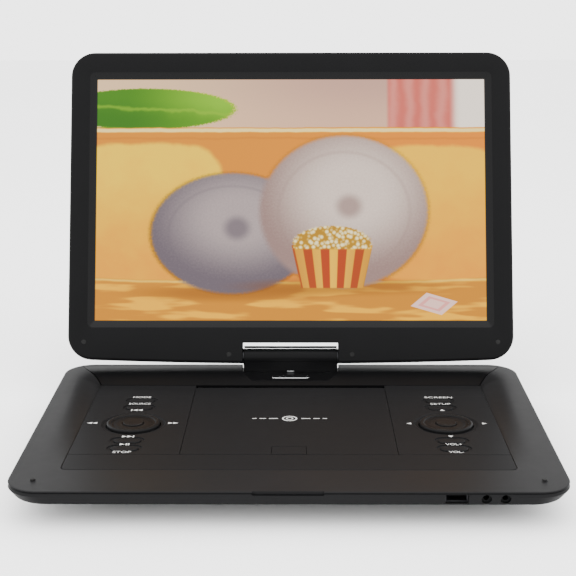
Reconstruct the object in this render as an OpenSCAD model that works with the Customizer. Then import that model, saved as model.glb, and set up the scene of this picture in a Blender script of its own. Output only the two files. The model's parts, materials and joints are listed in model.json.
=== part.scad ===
// Portable disc player: a base with a disc loader and keypads, and a screen on a hinge that swivels and tilts.
// Millimetres, Z up, X to the player's right, the keypads' front edge towards -Y. The lid stands open.

/* [Base] */
// Width of the base
base_w = 342; // [336:1:350]
// Depth of the base
base_d = 240; // [238:1:246]
// Height of the flat rim above the table
rim_z = 24; // [23:0.5:27]
// Radius of the base's corners in plan
corner_r = 21; // [16:1:26]
// Height of the line where the two base shells meet
split_z = 18; // [17.5:0.5:18.5]

/* [Deck] */
// How far the deck starts behind the front edge
deck_front = 34; // [32:1:38]
// Length of the deck along its slope
deck_l = 170.8; // [170:0.2:172]
// Half width of the deck
deck_hw = 141.5; // [140:0.5:143]
// Fall of the deck towards the hinge, in degrees
deck_tilt = 1.65; // [1.5:0.05:1.8]
// Radius of the deck's two front corners
deck_r = 4; // [2:0.5:6]
// Half width of the disc door
door_hw = 70; // [69:0.5:71]

/* [Keys] */
// Sideways distance from the middle to each keypad
pad_x = 106.8; // [104:0.2:108]
// Radius of the four-way ring
ring_r = 18.2; // [17:0.2:18.6]
// Radius of the round key inside the ring
centre_r = 6.9; // [6:0.1:7]
// Length of a pill key
pill_l = 18; // [16:0.5:19]
// Width of a pill key
pill_w = 8.4; // [7:0.2:9]

/* [Lid] */
// Width of the lid
lid_w = 340.6; // [338:0.2:344]
// Height of the lid
lid_h = 241.4; // [240:0.2:243]
// How far the lid leans back from upright, in degrees
lid_lean = 19.5; // [10:0.5:25]
// Half width of the visible picture
pic_hw = 150.4; // [148:0.2:151]
// Height of the visible picture
pic_h = 188.2; // [186:0.2:190]

/* [Hinge] */
// Distance from the base's rear edge to the swivel axis
swivel_back = 6; // [6:0.1:6.4]
// Distance from the base's rear edge to the tilt axis
tilt_back = 5.3; // [5.2:0.1:6]
// Height of the tilt axis above the rim
axis_up = 8.1; // [8:0.1:8.6]
// Radius of the hinge barrel
barrel_r = 6; // [5.8:0.1:6]
// Half width of the hinge barrel
barrel_hw = 35.8; // [34:0.2:36]

/* [Hidden] */
$fn = 48;

// Shells and seams
wall = 2;
seam = 0.15;
eps = 0.02;
hull_fn = 32;
foot_h = 2.5;
plate_t = 2.4;

// Frames: the row's origin is under the middle of the whole player, lid included
swivel_y = base_d / 2 - swivel_back;
tilt_y = base_d / 2 - tilt_back;
axis_z = rim_z + axis_up;
lid_front = 6.5;
lid_back = 6.5;
lid_drop = 5.4;
lid_top = lid_h - lid_drop;
lid_edge = 2.5;
reach_back = tilt_y + lid_top * sin(lid_lean) + lid_back * cos(lid_lean) - 1;
y_mid = (reach_back - base_d / 2) / 2;
deck_y = deck_front - base_d / 2;

// Underside of the base, from the split line down to the flat: share of the depth, share of the
// drawing in, and corner radius of each level
LEVELS = [
    [0.1, 0.12, 25], [0.26, 0.24, 26], [0.5, 0.47, 24], [0.8, 0.78, 18], [1, 1, 12]
];
rim_h = 3.3;
tuck = 2.5;
tuck_r = 23;
belly_in = 36;
rear_share = 0.25;
belly_h = split_z - foot_h;
step_h = 0.3;

// Deck, in its own sloping frame
strip_l = 26.4;
drum_r = 4;
drum_y = 164.4;
drum_z = -drum_r;
disc_r = 61;
disc_y = 96;
well_floor = -8;
pill_steps = [-47.5, -33, 34.5, 50];
pad_y = 85.4;
dish_r = 22;
dish_d = 1;
board_z = -6;
web_z = -4.9;
key_gap = 0.25;
flange_z = -3.4;

// Lid
lid_corner = 18.5;
lid_bow = 2.7;
bezel_t = 2.2;
bezel_side = 2;
pic_z = 32.4 - lid_drop;
bevel_w = 5;
notch_hw = barrel_hw + 0.5;
notch_z = 10.3;
lcd_y = -4.1;

// Loader, in the deck's frame
rod_r = 1;
rod_z = -12;
rod_dy = 16;
rod_x0 = 8;
rod_x1 = 66;
screw_dy = 24;
screw_r = 1.3;
run_gap = 0.05;
sled_x = 24;

// Hinge
shaft_r = 3;
shaft_low = split_z - 2.7;
pocket_r = 37.2;
pocket_z = rim_z - 2.8;
pin_r = 2.2;
core_r = 4.4;

// Ports on the front face, switch on the right side and inlet at the rear
port_z = rim_z - 4.9;
port_y = -base_d / 2 + 4;
jack_r = 1.8;
usb_x = 100.5;
av_x = 118;
phone_x = 129.4;
dc_x = 112;
dc_z = 12.5;
switch_y = 30;
ornament_y = 98.5;

// ---- frames

module on_base() {
    translate([0, -y_mid, 0]) children();
}

module on_deck() {
    on_base() translate([0, deck_y, rim_z]) rotate([-deck_tilt, 0, 0]) children();
}

module on_lid() {
    on_base() translate([0, tilt_y, axis_z]) rotate([-lid_lean, 0, 0]) children();
}

// ---- shared shapes

// A box given by its low corner and its high corner
module block(low, high) {
    translate(low) cube(high - low);
}

// A flat rectangle with true round corners
module round_rect(w, d, r) {
    square([w - 2 * r, d], center = true);
    square([w, d - 2 * r], center = true);
    for (sx = [-1, 1], sy = [-1, 1])
        translate([sx * (w / 2 - r), sy * (d / 2 - r)]) circle(r);
}

// A slab of round_rect between two heights
module round_slab(w, d, r, z0, z1) {
    translate([0, 0, z0]) linear_extrude(z1 - z0) round_rect(w, d, r);
}

// A cylinder lying along X
module x_rod(r, x0, x1) {
    translate([x0, 0, 0]) rotate([0, 90, 0]) cylinder(r = r, h = x1 - x0);
}

// A cylinder lying along Y
module y_rod(r, y0, y1) {
    translate([0, y0, 0]) rotate([-90, 0, 0]) cylinder(r = r, h = y1 - y0);
}

module both_sides() {
    children();
    mirror([1, 0, 0]) children();
}

// A flat pill
module pill(l, w) {
    square([l - w, w], center = true);
    for (s = [-1, 1])
        translate([s * (l - w) / 2, 0]) circle(w / 2);
}

// ---- base shells

// The base's plan drawn in by a distance, less so at the rear
module base_plan(in, r, inset) {
    translate([0, in * (1 - rear_share) / 2])
        round_rect(base_w - 2 * (in + inset), base_d - in * (1 + rear_share) - 2 * inset, max(r - inset, 2), $fn = hull_fn);
}

// The base's bowl, drawn in by an extra inset and raised by an extra height
module belly(inset, lift, top) {
    hull() {
        for (l = LEVELS)
            translate([0, 0, split_z - l[0] * belly_h + lift])
                linear_extrude(step_h) base_plan(l[1] * belly_in, l[2], inset);
        translate([0, 0, top - step_h]) linear_extrude(step_h) base_plan(tuck, tuck_r, inset);
    }
}

// The rim's outer body: straight under the rim, then drawn in to the split line
module rim_body() {
    round_slab(base_w, base_d, corner_r, rim_z - rim_h, rim_z);
    hull() {
        translate([0, 0, rim_z - rim_h]) linear_extrude(step_h) base_plan(0, corner_r, eps);
        translate([0, 0, split_z + eps]) linear_extrude(step_h) base_plan(tuck, tuck_r, 0);
    }
}

// Holes and room behind them for the ports in the front wall and the switch in the right wall
module port_holes() {
    y0 = -base_d / 2;
    for (x = [av_x, phone_x]) {
        translate([x, 0, port_z]) y_rod(3.1, y0 - 2, y0 + 16);
        block([x - 4.6, y0 + 12, port_z - 3.4], [x + 4.6, y0 + 25, port_z + 3.2]);
    }
    block([usb_x - 6.9, y0 - 2, port_z - 3.1], [usb_x + 6.9, y0 + 20, port_z + 3.1]);
    block([base_w / 2 - 14.5, switch_y - 7, port_z - 2.2], [base_w / 2 - 3, switch_y + 7, port_z + 2.8]);
    block([base_w / 2 - 4, switch_y - 7, port_z - 1.9], [base_w / 2 + 2, switch_y + 7, port_z + 1.9]);
}

foot_x = 122;
foot_y = 74;
foot_r = 6;
bay = [[-130, -48], [-76, 58]];
screw_spots = [[-110, 70], [110, 70], [-124, -60], [124, -60]];

module base_lower_shell() {
    color("#1c1c1e") on_base() difference() {
        belly(0, 0, split_z - eps);
        belly(wall, wall, split_z + 1);
        // battery bay in the floor
        block([bay[0][0], bay[0][1], foot_h - 1], [bay[1][0], bay[1][1], foot_h + wall + 1]);
        // seats of the rubber feet
        for (sx = [-1, 1], sy = [-1, 1])
            translate([sx * foot_x, sy * foot_y, foot_h - 1]) cylinder(r = foot_r + 0.1, h = 1.6);
        // case screw holes
        for (p = screw_spots)
            translate([p[0], p[1], 0]) cylinder(r = 1.7, h = 8);
        // sound slots under the speakers
        for (sx = [-1, 1], i = [-2:2])
            translate([sx * 98 + i * 4, -68, 0]) block([-0.9, -7, 0], [0.9, 7, 8]);
        port_holes();
        // inlet in the rear wall
        translate([dc_x, 0, dc_z]) y_rod(4.1, base_d / 2 - 16, base_d / 2 + 2);
        // room for the swivel shaft's ring
        translate([0, swivel_y, shaft_low - 0.3]) cylinder(r = shaft_r + 1.3, h = 6);
    }
}

// The space above the deck: it opens sideways and backwards as the deck falls away from the rim
module deck_slope() {
    rear_y = swivel_y - 9;
    hull() {
        translate([0, 0, rim_z]) linear_extrude(1) polygon([
            [-deck_hw - 2, deck_y], [deck_hw + 2, deck_y],
            [base_w / 2 - 12.5, deck_y + 60], [base_w / 2 - 12.5, rear_y],
            [12.5 - base_w / 2, rear_y], [12.5 - base_w / 2, deck_y + 60]
        ]);
        translate([0, deck_y, rim_z]) rotate([-deck_tilt, 0, 0])
            block([-deck_hw, 0, 0], [deck_hw, deck_l, 0.1]);
    }
}

// Plan of the deck from its front edge back, with round front corners
module deck_plan(hw, l, r) {
    translate([-hw, r]) square([2 * hw, l - r]);
    translate([r - hw, 0]) square([2 * (hw - r), r + eps]);
    for (s = [-1, 1])
        translate([s * (hw - r), r]) circle(r);
}

// Plan of the rear trim, grown by a gap
module trim_plan(g) {
    polygon([
        [-deck_hw + 1.3 - g, deck_y + deck_l - g], [deck_hw - 1.3 + g, deck_y + deck_l - g],
        [base_w / 2 - 9 + g, base_d / 2 - 4 + g], [9 - base_w / 2 - g, base_d / 2 - 4 + g]
    ]);
}

// Section of the rear trim: a slope up from the deck and a flat at rim height
module trim_band(g) {
    y0 = deck_y + deck_l - 1;
    z0 = rim_z - (deck_l - 1) * sin(deck_tilt);
    y1 = swivel_y - 9;
    translate([-base_w / 2, 0, 0]) rotate([90, 0, 90]) linear_extrude(base_w) polygon([
        [y0, z0 + g], [y1, rim_z + g], [base_d / 2, rim_z + g], [base_d / 2, rim_z - wall - g],
        [y1 + 0.5, rim_z - wall - g], [y0, z0 - wall - g]
    ]);
}

module trim_solid(g) {
    intersection() {
        trim_band(g);
        linear_extrude(rim_z + 2) trim_plan(g);
    }
}

module swivel_pocket() {
    translate([0, swivel_y, pocket_z]) cylinder(r = pocket_r, h = 10);
}

module base_upper_shell() {
    hole = [deck_hw + seam, deck_l + seam];
    ledge = 3;
    color("#3a3a3c") on_base() difference() {
        union() {
            rim_body();
            block([-deck_hw - wall, deck_y - wall, split_z - 3], [deck_hw + wall, swivel_y - 22, split_z + 1]);
        }
        deck_slope();
        // opening that the deck plates close, with a ledge under their edges
        translate([0, deck_y, rim_z]) rotate([-deck_tilt, 0, 0]) {
            difference() {
                union() {
                    translate([0, -seam, -plate_t - seam]) linear_extrude(plate_t + seam + 3)
                        deck_plan(hole[0], hole[1] + seam, deck_r + seam);
                    block([-deck_hw + ledge, ledge, -30], [deck_hw - ledge, deck_l - ledge, 0]);
                }
                block([-door_hw, drum_y + drum_r / 2 + 0.2, -plate_t - 1], [door_hw, deck_l + 1, 0]);
            }
            translate([0, drum_y, drum_z]) x_rod(drum_r + 0.3, -door_hw - seam, door_hw + seam);
        }
        // hollow under the rim
        difference() {
            translate([0, 0, split_z - 1]) linear_extrude(2.4) base_plan(tuck, tuck_r, wall);
            block([-deck_hw - wall, deck_y - wall, 0], [deck_hw + wall, base_d, rim_z]);
        }
        trim_solid(seam);
        swivel_pocket();
        ornament_seat();
        port_holes();
        // finger recess in the front edge
        block([-21.3, -base_d / 2 - 1, rim_z - 2], [21.3, -base_d / 2 + 1.5, rim_z + 1]);
        // bush of the swivel bracket
        translate([0, swivel_y, 0]) cylinder(r = shaft_r + 1.3, h = rim_z);
        // seats of the rim bumpers
        both_sides() translate([bumper_x, bumper_y, rim_z - 1]) cylinder(r = 1.6, h = 2);
    }
}

bumper_x = 155.2;
bumper_y = 17.5 - base_d / 2;

module rim_bumpers() {
    color("#202020") on_base() both_sides() translate([bumper_x, bumper_y, rim_z - 1]) {
        cylinder(r = 1.55, h = 2.2);
    }
}

module rear_trim() {
    color("#111113") on_base() difference() {
        trim_solid(0);
        swivel_pocket();
        translate([0, deck_y, rim_z]) rotate([-deck_tilt, 0, 0])
            block([-deck_hw, deck_l - 6, -10], [deck_hw, deck_l + seam, 5]);
        ornament_seat();
    }
}

module ornament_seat() {
    translate([0, ornament_y, pocket_z - 0.4]) linear_extrude(3) pill(29.2, 6.2);
}

module rear_ornament() {
    color("#d8d8da") on_base() translate([0, ornament_y, pocket_z - 0.4])
        linear_extrude(0.6) pill(29, 6);
}

// ---- deck plates

module keypad_plate(side) {
    on_deck() difference() {
        mirror([side < 0 ? 1 : 0, 0, 0])
            block([door_hw + seam, strip_l + seam, -plate_t], [deck_hw, deck_l, 0]);
        translate([side * pad_x, pad_y, 0]) {
            translate([0, 0, -dish_d]) cylinder(r1 = dish_r - 1.5, r2 = dish_r, h = dish_d + eps);
            translate([0, 0, -9]) cylinder(r = ring_r + 0.5, h = 12);
            for (dy = pill_steps) translate([0, dy, 0]) {
                translate([0, 0, -0.7]) linear_extrude(2) pill(pill_l + 5, pill_w + 4.4);
                translate([0, 0, -9]) linear_extrude(12) pill(pill_l + 2 * key_gap, pill_w + 2 * key_gap);
            }
        }
    }
}

module left_keypad_panel() {
    color("#363638") keypad_plate(-1);
}

module right_keypad_panel() {
    color("#363638") keypad_plate(1);
}

module front_strip() {
    color("#3a3a3c") on_deck() translate([0, 0, -plate_t]) linear_extrude(plate_t)
        deck_plan(deck_hw, strip_l, deck_r);
}

// A pill key: cap, retaining flange and plunger
module pill_key(side, step) {
    color("#2c2c2e") on_deck() translate([side * pad_x, pad_y + step, 0]) {
        translate([0, 0, flange_z]) linear_extrude(-flange_z + 0.1) pill(pill_l, pill_w);
        translate([0, 0, flange_z]) linear_extrude(0.8) pill(pill_l + 2, pill_w + 2);
        translate([0, 0, flange_z - 0.9]) cylinder(r = 1.5, h = 1.5);
    }
}

module mode_button() pill_key(-1, pill_steps[3]);
module source_button() pill_key(-1, pill_steps[2]);
module play_button() pill_key(-1, pill_steps[1]);
module stop_button() pill_key(-1, pill_steps[0]);
module screen_button() pill_key(1, pill_steps[3]);
module setup_button() pill_key(1, pill_steps[2]);
module volume_up_button() pill_key(1, pill_steps[1]);
module volume_down_button() pill_key(1, pill_steps[0]);

// Four-way ring: a raised outer band falls to a flat inner plateau
module four_way_ring(side) {
    inner = centre_r + 0.4;
    color("#2e2e30") on_deck() translate([side * pad_x, pad_y, 0]) rotate_extrude() polygon([
        [inner, flange_z], [ring_r + 1.4, flange_z - 0.8], [ring_r + 1.4, flange_z - 0.1],
        [ring_r, flange_z + 0.2], [ring_r, 0], [ring_r - 0.7, 0.9], [ring_r - 2.6, 1.3],
        [ring_r - 4.4, 0.9], [ring_r - 5.4, 0.5], [inner, 0.5]
    ]);
}

module skip_ring() four_way_ring(-1);
module menu_ring() four_way_ring(1);

module centre_key(side) {
    color("#2a2a2c") on_deck() translate([side * pad_x, pad_y, 0]) {
        translate([0, 0, -3]) cylinder(r = centre_r, h = 3.9);
        translate([0, 0, -4.6]) cylinder(r = 1.5, h = 2);
    }
}

module skip_centre_button() centre_key(-1);
module menu_centre_button() centre_key(1);

// Rubber web under a ring: it lets the ring rock both ways
module ring_web(side) {
    color("#5a5a5c") on_deck() translate([side * pad_x, pad_y, web_z]) difference() {
        cylinder(r = 6.6, h = 0.7);
        translate([0, 0, -1]) cylinder(r = 3.2, h = 3);
    }
}

module skip_web() ring_web(-1);
module menu_web() ring_web(1);

module key_boards() {
    color("#1f5a34") on_deck() both_sides() translate([pad_x, pad_y, 0])
        block([-26, -56, board_z - 1.2], [26, 60, board_z]);
}

// ---- disc door and latch

tab_hw = 11.1;
tab_l = 13.8;

module disc_door() {
    color("#363638") on_deck() difference() {
        union() {
            block([-door_hw + seam, strip_l + seam, -wall], [door_hw - seam, drum_y, 0]);
            translate([0, drum_y, drum_z]) x_rod(drum_r, -door_hw + seam + 1, door_hw - seam - 1);
            translate([0, drum_y, drum_z]) x_rod(1.5, -door_hw - 4.5, door_hw + 4.5);
            // catch tongues
            both_sides() block([14, strip_l + 6.6, -6.5], [18, strip_l + 8.2, -wall + eps]);
        }
        // notch for the key
        block([-tab_hw - 0.2, strip_l - 1, -9], [tab_hw + 0.2, strip_l + seam + tab_l + 0.4, 2]);
    }
}

module latch_button() {
    color("#2e2e30") on_deck() {
        block([-tab_hw, strip_l + 0.3, -2], [tab_hw, strip_l + tab_l, 0.1]);
        block([-4, strip_l + 1, -6.2], [4, strip_l + 5, -2 + eps]);
    }
}

module latch_hook() {
    color("#c9c9c4") on_deck() difference() {
        union() {
            block([-18, strip_l + 0.8, -9.6], [18, strip_l + 5.6, -7.4]);
            both_sides() block([14, strip_l + 3.6, -7.6], [18, strip_l + 5.6, -4.4]);
            both_sides() block([14, strip_l + 5.4, -5.4], [18, strip_l + 6.3, -4.4]);
        }
        block([-5, strip_l - 1, -8.2], [5, strip_l + 4, -7]);
    }
}

// ---- disc well and loader

module disc_well() {
    rim_top = -wall - 0.4;
    low = well_floor - 1.8;
    color("#1a1a1c") on_deck() difference() {
        union() {
            block([-door_hw + 0.6, strip_l + 9, low], [door_hw - 0.6, drum_y - drum_r - 0.6, rim_top]);
            // ears that carry the door's pins
            both_sides() block(
                [door_hw + 1.2, drum_y - 3.4, low], [door_hw + 3.8, drum_y + 2.6, -plate_t - 0.2]);
            both_sides() block(
                [door_hw - 12, drum_y - drum_r - 3, low], [door_hw + 3.8, drum_y - drum_r + 1.2, low + 1.4]);
            both_sides() block(
                [door_hw + 1.2, drum_y - drum_r - 3, low], [door_hw + 3.8, drum_y + 1, low + 2.8]);
        }
        translate([0, disc_y, well_floor]) cylinder(r = disc_r, h = 20, $fn = 96);
        // finger dips beside the disc
        both_sides() translate([disc_r - 6, disc_y - 34, well_floor]) cylinder(r = 9, h = 20);
        // hole for the hub, and slot for the pickup
        translate([0, disc_y, low - 1]) cylinder(r = 12.4, h = 9);
        block([6, disc_y - 13, low - 1], [disc_r + 3, disc_y + 13, well_floor + 1]);
        // room for the sled motor
        block([-21, disc_y + screw_dy - 4, low - 1], [1.4, disc_y + screw_dy + 4, low + 0.9]);
        // pins of the door
        translate([0, drum_y, drum_z]) x_rod(1.5 + run_gap, -door_hw - 6, door_hw + 6);
        // room for the latch
        block([-20, strip_l, low - 1], [20, strip_l + 10, 0]);
    }
}

// A steel plate with upright tabs that hold the rods and the screw
module loader_chassis() {
    z1 = rod_z - 1.9;
    tab_x = [rod_x0 - 3.2, rod_x1 - 1.6];
    color("#b6b8ba") on_deck() difference() {
        union() {
            block([-34, disc_y - 30, z1 - 0.9], [rod_x1, disc_y + 34, z1]);
            for (x = tab_x)
                block([x, disc_y - rod_dy - 2.4, z1 - 0.4], [x + 1.4, disc_y + screw_dy + 2.4, rod_z + 1.9]);
        }
        // motor and pickup window
        translate([0, disc_y, z1 - 3]) cylinder(r = 11.4, h = 9);
        block([rod_x0 - 1.4, disc_y - rod_dy + 2.6, z1 - 3], [rod_x1 - 1.8, disc_y + rod_dy - 2.6, 0]);
        block([0, disc_y - 11.4, z1 + 0.1], [rod_x1 + 2, disc_y + 11.4, 0]);
        block([-21, disc_y + screw_dy - 3.2, z1 - 3], [2, disc_y + screw_dy + 3.2, 0]);
        for (s = [-1, 1]) translate([0, disc_y + s * rod_dy, rod_z]) x_rod(rod_r, 0, rod_x1 + 2);
        translate([0, disc_y + screw_dy, rod_z]) x_rod(screw_r + run_gap, 0, rod_x1 + 2);
        for (p = damper_spots) translate([p[0], p[1], z1 - 3]) cylinder(r = 2, h = 9);
    }
}

damper_spots = [[-29, 71], [61, 71], [-29, 125], [61, 125]];

module loader_dampers() {
    z1 = rod_z - 1.9;
    color("#3c3c40") on_deck() for (p = damper_spots) translate([p[0], p[1], 0]) {
        translate([0, 0, z1 - 1.9]) cylinder(r = 3.4, h = 1);
        translate([0, 0, z1 - 1.2]) cylinder(r = 2, h = 2);
        translate([0, 0, z1]) cylinder(r = 3.4, h = 1.6);
    }
}

module guide_rods() {
    color("#d9dadc") on_deck() for (s = [-1, 1])
        translate([0, disc_y + s * rod_dy, rod_z]) x_rod(rod_r, rod_x0 - 3.2, rod_x1 - 0.2);
}

module spindle_motor() {
    color("#9a9c9f") on_deck() translate([0, disc_y, 0]) difference() {
        union() {
            translate([0, 0, -14.2]) cylinder(r = 11.3, h = 4.4);
            translate([0, 0, -10]) cylinder(r = 4, h = 1);
        }
        translate([0, 0, -13.6]) cylinder(r = 0.8, h = 10);
    }
}

module spindle_hub() {
    color("#26262a") on_deck() translate([0, disc_y, 0]) {
        translate([0, 0, -13.4]) cylinder(r = 0.75, h = 6);
        translate([0, 0, -8.8]) cylinder(r = 11, h = 1.4);
        translate([0, 0, -7.6]) cylinder(r = 7.3, h = 2);
        translate([0, 0, -5.7]) cylinder(r1 = 7.3, r2 = 5.6, h = 1.4);
    }
}

module pickup_sled() {
    color("#2f2f33") on_deck() translate([sled_x, disc_y, 0]) difference() {
        union() {
            block([-8, -12, rod_z - 1.6], [8, 12, -9]);
            block([-8, -rod_dy - 2.2, rod_z - 1.8], [8, rod_dy + 2.2, rod_z + 1.8]);
            block([-3, rod_dy, rod_z - 1.8], [3, screw_dy + 1.9, rod_z + 1.8]);
            translate([0, 0, -9 - eps]) cylinder(r = 4, h = 0.9);
        }
        for (s = [-1, 1]) translate([0, s * rod_dy, rod_z]) x_rod(rod_r + run_gap, -10, 10);
        translate([0, screw_dy, rod_z]) x_rod(screw_r + run_gap, -10, 10);
    }
}

module lead_screw() {
    color("#c9b98a") on_deck() translate([0, disc_y + screw_dy, rod_z]) {
        x_rod(screw_r, -1, rod_x1 + 0.6);
        x_rod(screw_r + 0.6, rod_x1 + 0.4, rod_x1 + 1.2);
    }
}

module sled_motor() {
    color("#8f9194") on_deck() translate([0, disc_y + screw_dy, rod_z]) difference() {
        x_rod(3, -20, 0.6);
        x_rod(screw_r + run_gap, -1.4, 2);
    }
}

// ---- things inside the base

module main_board() {
    color("#1d4f7a") on_base() {
        block([84, -50, 8], [134, 50, 9.4]);
        for (y = [-30, 0, 26]) block([92, y, 9.4 - eps], [112, y + 16, 10.6]);
        for (y = [-36, -10, 16, 38]) translate([124, y, 9.4 - eps]) cylinder(r = 3, h = 3);
    }
}

module battery_pack() {
    color("#2b3f63") on_base() block([bay[0][0] + 1, bay[0][1] + 1, foot_h + 2.2],
        [bay[1][0] - 1, bay[1][1] - 1, foot_h + 8.4]);
}

module battery_cover() {
    color("#1c1c1e") on_base() block([bay[0][0] + seam, bay[0][1] + seam, foot_h],
        [bay[1][0] - seam, bay[1][1] - seam, foot_h + 1.9]);
}

module speakers() {
    color("#4a4a4e") on_base() both_sides() translate([98, -68, foot_h + wall + 0.2]) {
        translate([0, 0, 1]) linear_extrude(2) pill(30, 18);
        translate([0, 0, 2.9]) cylinder(r = 7, h = 3);
        difference() {
            linear_extrude(1.2) pill(32, 20);
            translate([0, 0, -1]) linear_extrude(3) pill(27, 15);
        }
    }
}

module rubber_feet() {
    color("#0e0e0e") on_base() for (sx = [-1, 1], sy = [-1, 1])
        translate([sx * foot_x, sy * foot_y, 0]) cylinder(r = foot_r, h = foot_h + 0.6);
}

module case_screws() {
    color("#8a8c8f") on_base() for (p = screw_spots)
        translate([p[0], p[1], foot_h + 0.1]) difference() {
            union() {
                cylinder(r = 1.6, h = 1.2);
                cylinder(r = 1, h = 6);
            }
            translate([0, 0, -0.1]) cylinder(r = 0.8, h = 0.7, $fn = 6);
        }
}

// A 3.5 mm jack: body, round nose in the wall and a bore for the plug
module plug_jack(x) {
    color("#1b1b1d") on_base() translate([x, 0, port_z]) difference() {
        union() {
            block([-4.4, port_y + 10.6, -3.2], [4.4, port_y + 20, 3]);
            y_rod(3, port_y, port_y + 11);
        }
        y_rod(jack_r, port_y - 1, port_y + 15);
    }
}

module av_jack() plug_jack(av_x);
module headphone_jack() plug_jack(phone_x);

module usb_socket() {
    color("#c4c6c8") on_base() translate([usb_x, 0, port_z]) {
        difference() {
            block([-6.7, port_y + 0.6, -2.9], [6.7, port_y + 15, 2.9]);
            block([-6.2, port_y - 1, -2.4], [6.2, port_y + 13.6, 2.4]);
        }
        block([-5.4, port_y + 3, 0.2], [5.4, port_y + 14, 1.9]);
    }
}

module dc_jack() {
    y1 = base_d / 2 - 5.2;
    color("#161618") on_base() translate([dc_x, 0, dc_z]) difference() {
        union() {
            block([-5, y1 - 22.4, -4], [5, y1 - 13, 4]);
            y_rod(4, y1 - 14, y1);
        }
        difference() {
            y_rod(2.8, y1 - 11, y1 + 1);
            y_rod(1, y1 - 12, y1 - 0.8);
        }
    }
}

module power_switch() {
    x1 = base_w / 2 - 2.8;
    color("#2a2a2c") on_base() translate([0, switch_y - 2, port_z]) {
        block([x1 - 9, -3, -1.5], [x1, 3, 1.5]);
        block([x1 - 11, -4, -1.9], [x1 - 8.6, 4, 2.4]);
    }
}

// ---- hinge

module swivel_bracket() {
    z0 = split_z - 1.6;
    color("#a9abae") on_base() translate([0, swivel_y, 0]) difference() {
        union() {
            block([-24, -22, z0], [24, 1.8, split_z - 0.2]);
            translate([0, 0, z0]) cylinder(r = shaft_r + 1.2, h = pocket_z - z0);
        }
        translate([0, 0, z0 - 1]) cylinder(r = shaft_r + run_gap, h = 12);
    }
}

module swivel_shaft() {
    color("#c8cacc") on_base() translate([0, swivel_y, 0]) difference() {
        union() {
            translate([0, 0, shaft_low]) cylinder(r = shaft_r, h = pocket_z - shaft_low + 1);
            translate([0, 0, pocket_z + 0.25]) cylinder(r = 5.2, h = 0.9);
        }
        translate([0, 0, shaft_low + 0.3]) difference() {
            cylinder(r = shaft_r + 1, h = 0.7);
            cylinder(r = shaft_r - 0.5, h = 2);
        }
    }
}

module retaining_ring() {
    color("#8a8c8f") on_base() translate([0, swivel_y, shaft_low + 0.35]) difference() {
        cylinder(r = shaft_r + 0.8, h = 0.6);
        translate([0, 0, -1]) cylinder(r = shaft_r - 0.5, h = 3);
    }
}

// Steel core of the barrel: two bores for the lid's pins, on a foot that stands on the shaft
module hinge_frame() {
    bore_l = 15;
    color("#b0b2b5") on_base() difference() {
        union() {
            translate([0, tilt_y, axis_z]) x_rod(core_r, -barrel_hw + 1, barrel_hw - 1);
            block([-22, swivel_y - 3.4, pocket_z + 1.2], [22, swivel_y + 3.4, axis_z]);
        }
        both_sides() translate([0, tilt_y, axis_z])
            x_rod(pin_r + run_gap, barrel_hw - bore_l, barrel_hw + 1);
    }
}

module barrel_cover() {
    low = pocket_z + 0.4;
    color("#2f2f31") on_base() difference() {
        union() {
            translate([0, tilt_y, axis_z]) x_rod(barrel_r, -barrel_hw, barrel_hw, $fn = 64);
            block([-barrel_hw, swivel_y - 4.6, low], [barrel_hw, swivel_y + 4.6, axis_z]);
        }
        translate([0, tilt_y, axis_z]) x_rod(core_r + 0.1, -barrel_hw + 0.9, barrel_hw - 0.9);
        block([-22.1, swivel_y - 3.5, low - 1], [22.1, swivel_y + 3.5, axis_z]);
        both_sides() block([23.6, swivel_y - 3.7, low - 1],
            [barrel_hw - 1.5, swivel_y + 3.7, axis_z - core_r - 1.5]);
        translate([0, swivel_y, 0]) cylinder(r = 5.3, h = pocket_z + 1.3);
        both_sides() translate([0, tilt_y, axis_z])
            x_rod(pin_r + 0.3, barrel_hw - 3, barrel_hw + 1);
    }
}

// ---- lid

// Outline of the lid, drawn in by an inset: round corners and a bottom edge that bows down
function arc(cx, cz, r, a0, a1, n) = [for (i = [0:n]) [cx + r * cos(a0 + (a1 - a0) * i / n),
    cz + r * sin(a0 + (a1 - a0) * i / n)]];

function lid_outline(g) = let (
    hw = lid_w / 2 - g,
    r = lid_corner - g,
    top = lid_top - g,
    low = -lid_drop + lid_bow + g
) concat(
    arc(hw - r, top - r, r, 0, 90, 8),
    arc(r - hw, top - r, r, 90, 180, 8),
    arc(r - hw, low + r, r, 180, 270, 8),
    [for (i = [1:9]) let (u = i / 5 - 1) [u * (hw - r), low - lid_bow * (1 - u * u)]],
    arc(hw - r, low + r, r, 270, 360, 8)
);

// A slab of the lid's outline between two depths
module lid_slab(g, y0, y1) {
    translate([0, y1, 0]) rotate([90, 0, 0]) linear_extrude(y1 - y0) polygon(lid_outline(g));
}

module lid_notch(g) {
    block([-notch_hw - g, -20, -20], [notch_hw + g, 20, notch_z + g]);
}

plug_spots = [[158, 10.9], [47, 1.4]];

module lid_bezel() {
    color("#2b2b2d") on_lid() difference() {
        hull() {
            lid_slab(0, -lid_front + lid_edge, -bezel_side);
            lid_slab(lid_edge, -lid_front, -lid_front + lid_edge);
        }
        difference() {
            lid_slab(wall + 1, -lid_front + bezel_t, 0);
            lid_notch(wall);
        }
        // opening with sloping sides
        hull() {
            block([-pic_hw, -lid_front + bezel_t - 0.1, pic_z], [pic_hw, 0, pic_z + pic_h]);
            block([-pic_hw - bevel_w, -lid_front - 1, pic_z - bevel_w],
                [pic_hw + bevel_w, -lid_front, pic_z + pic_h + bevel_w]);
        }
        lid_notch(0);
        both_sides() x_rod(pin_r + 0.2, notch_hw - 1, notch_hw + 20);
        both_sides() for (p = plug_spots)
            translate([p[0], 0, p[1]]) y_rod(1.9, -lid_front - 1, -lid_front + 0.8);
    }
}

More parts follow.
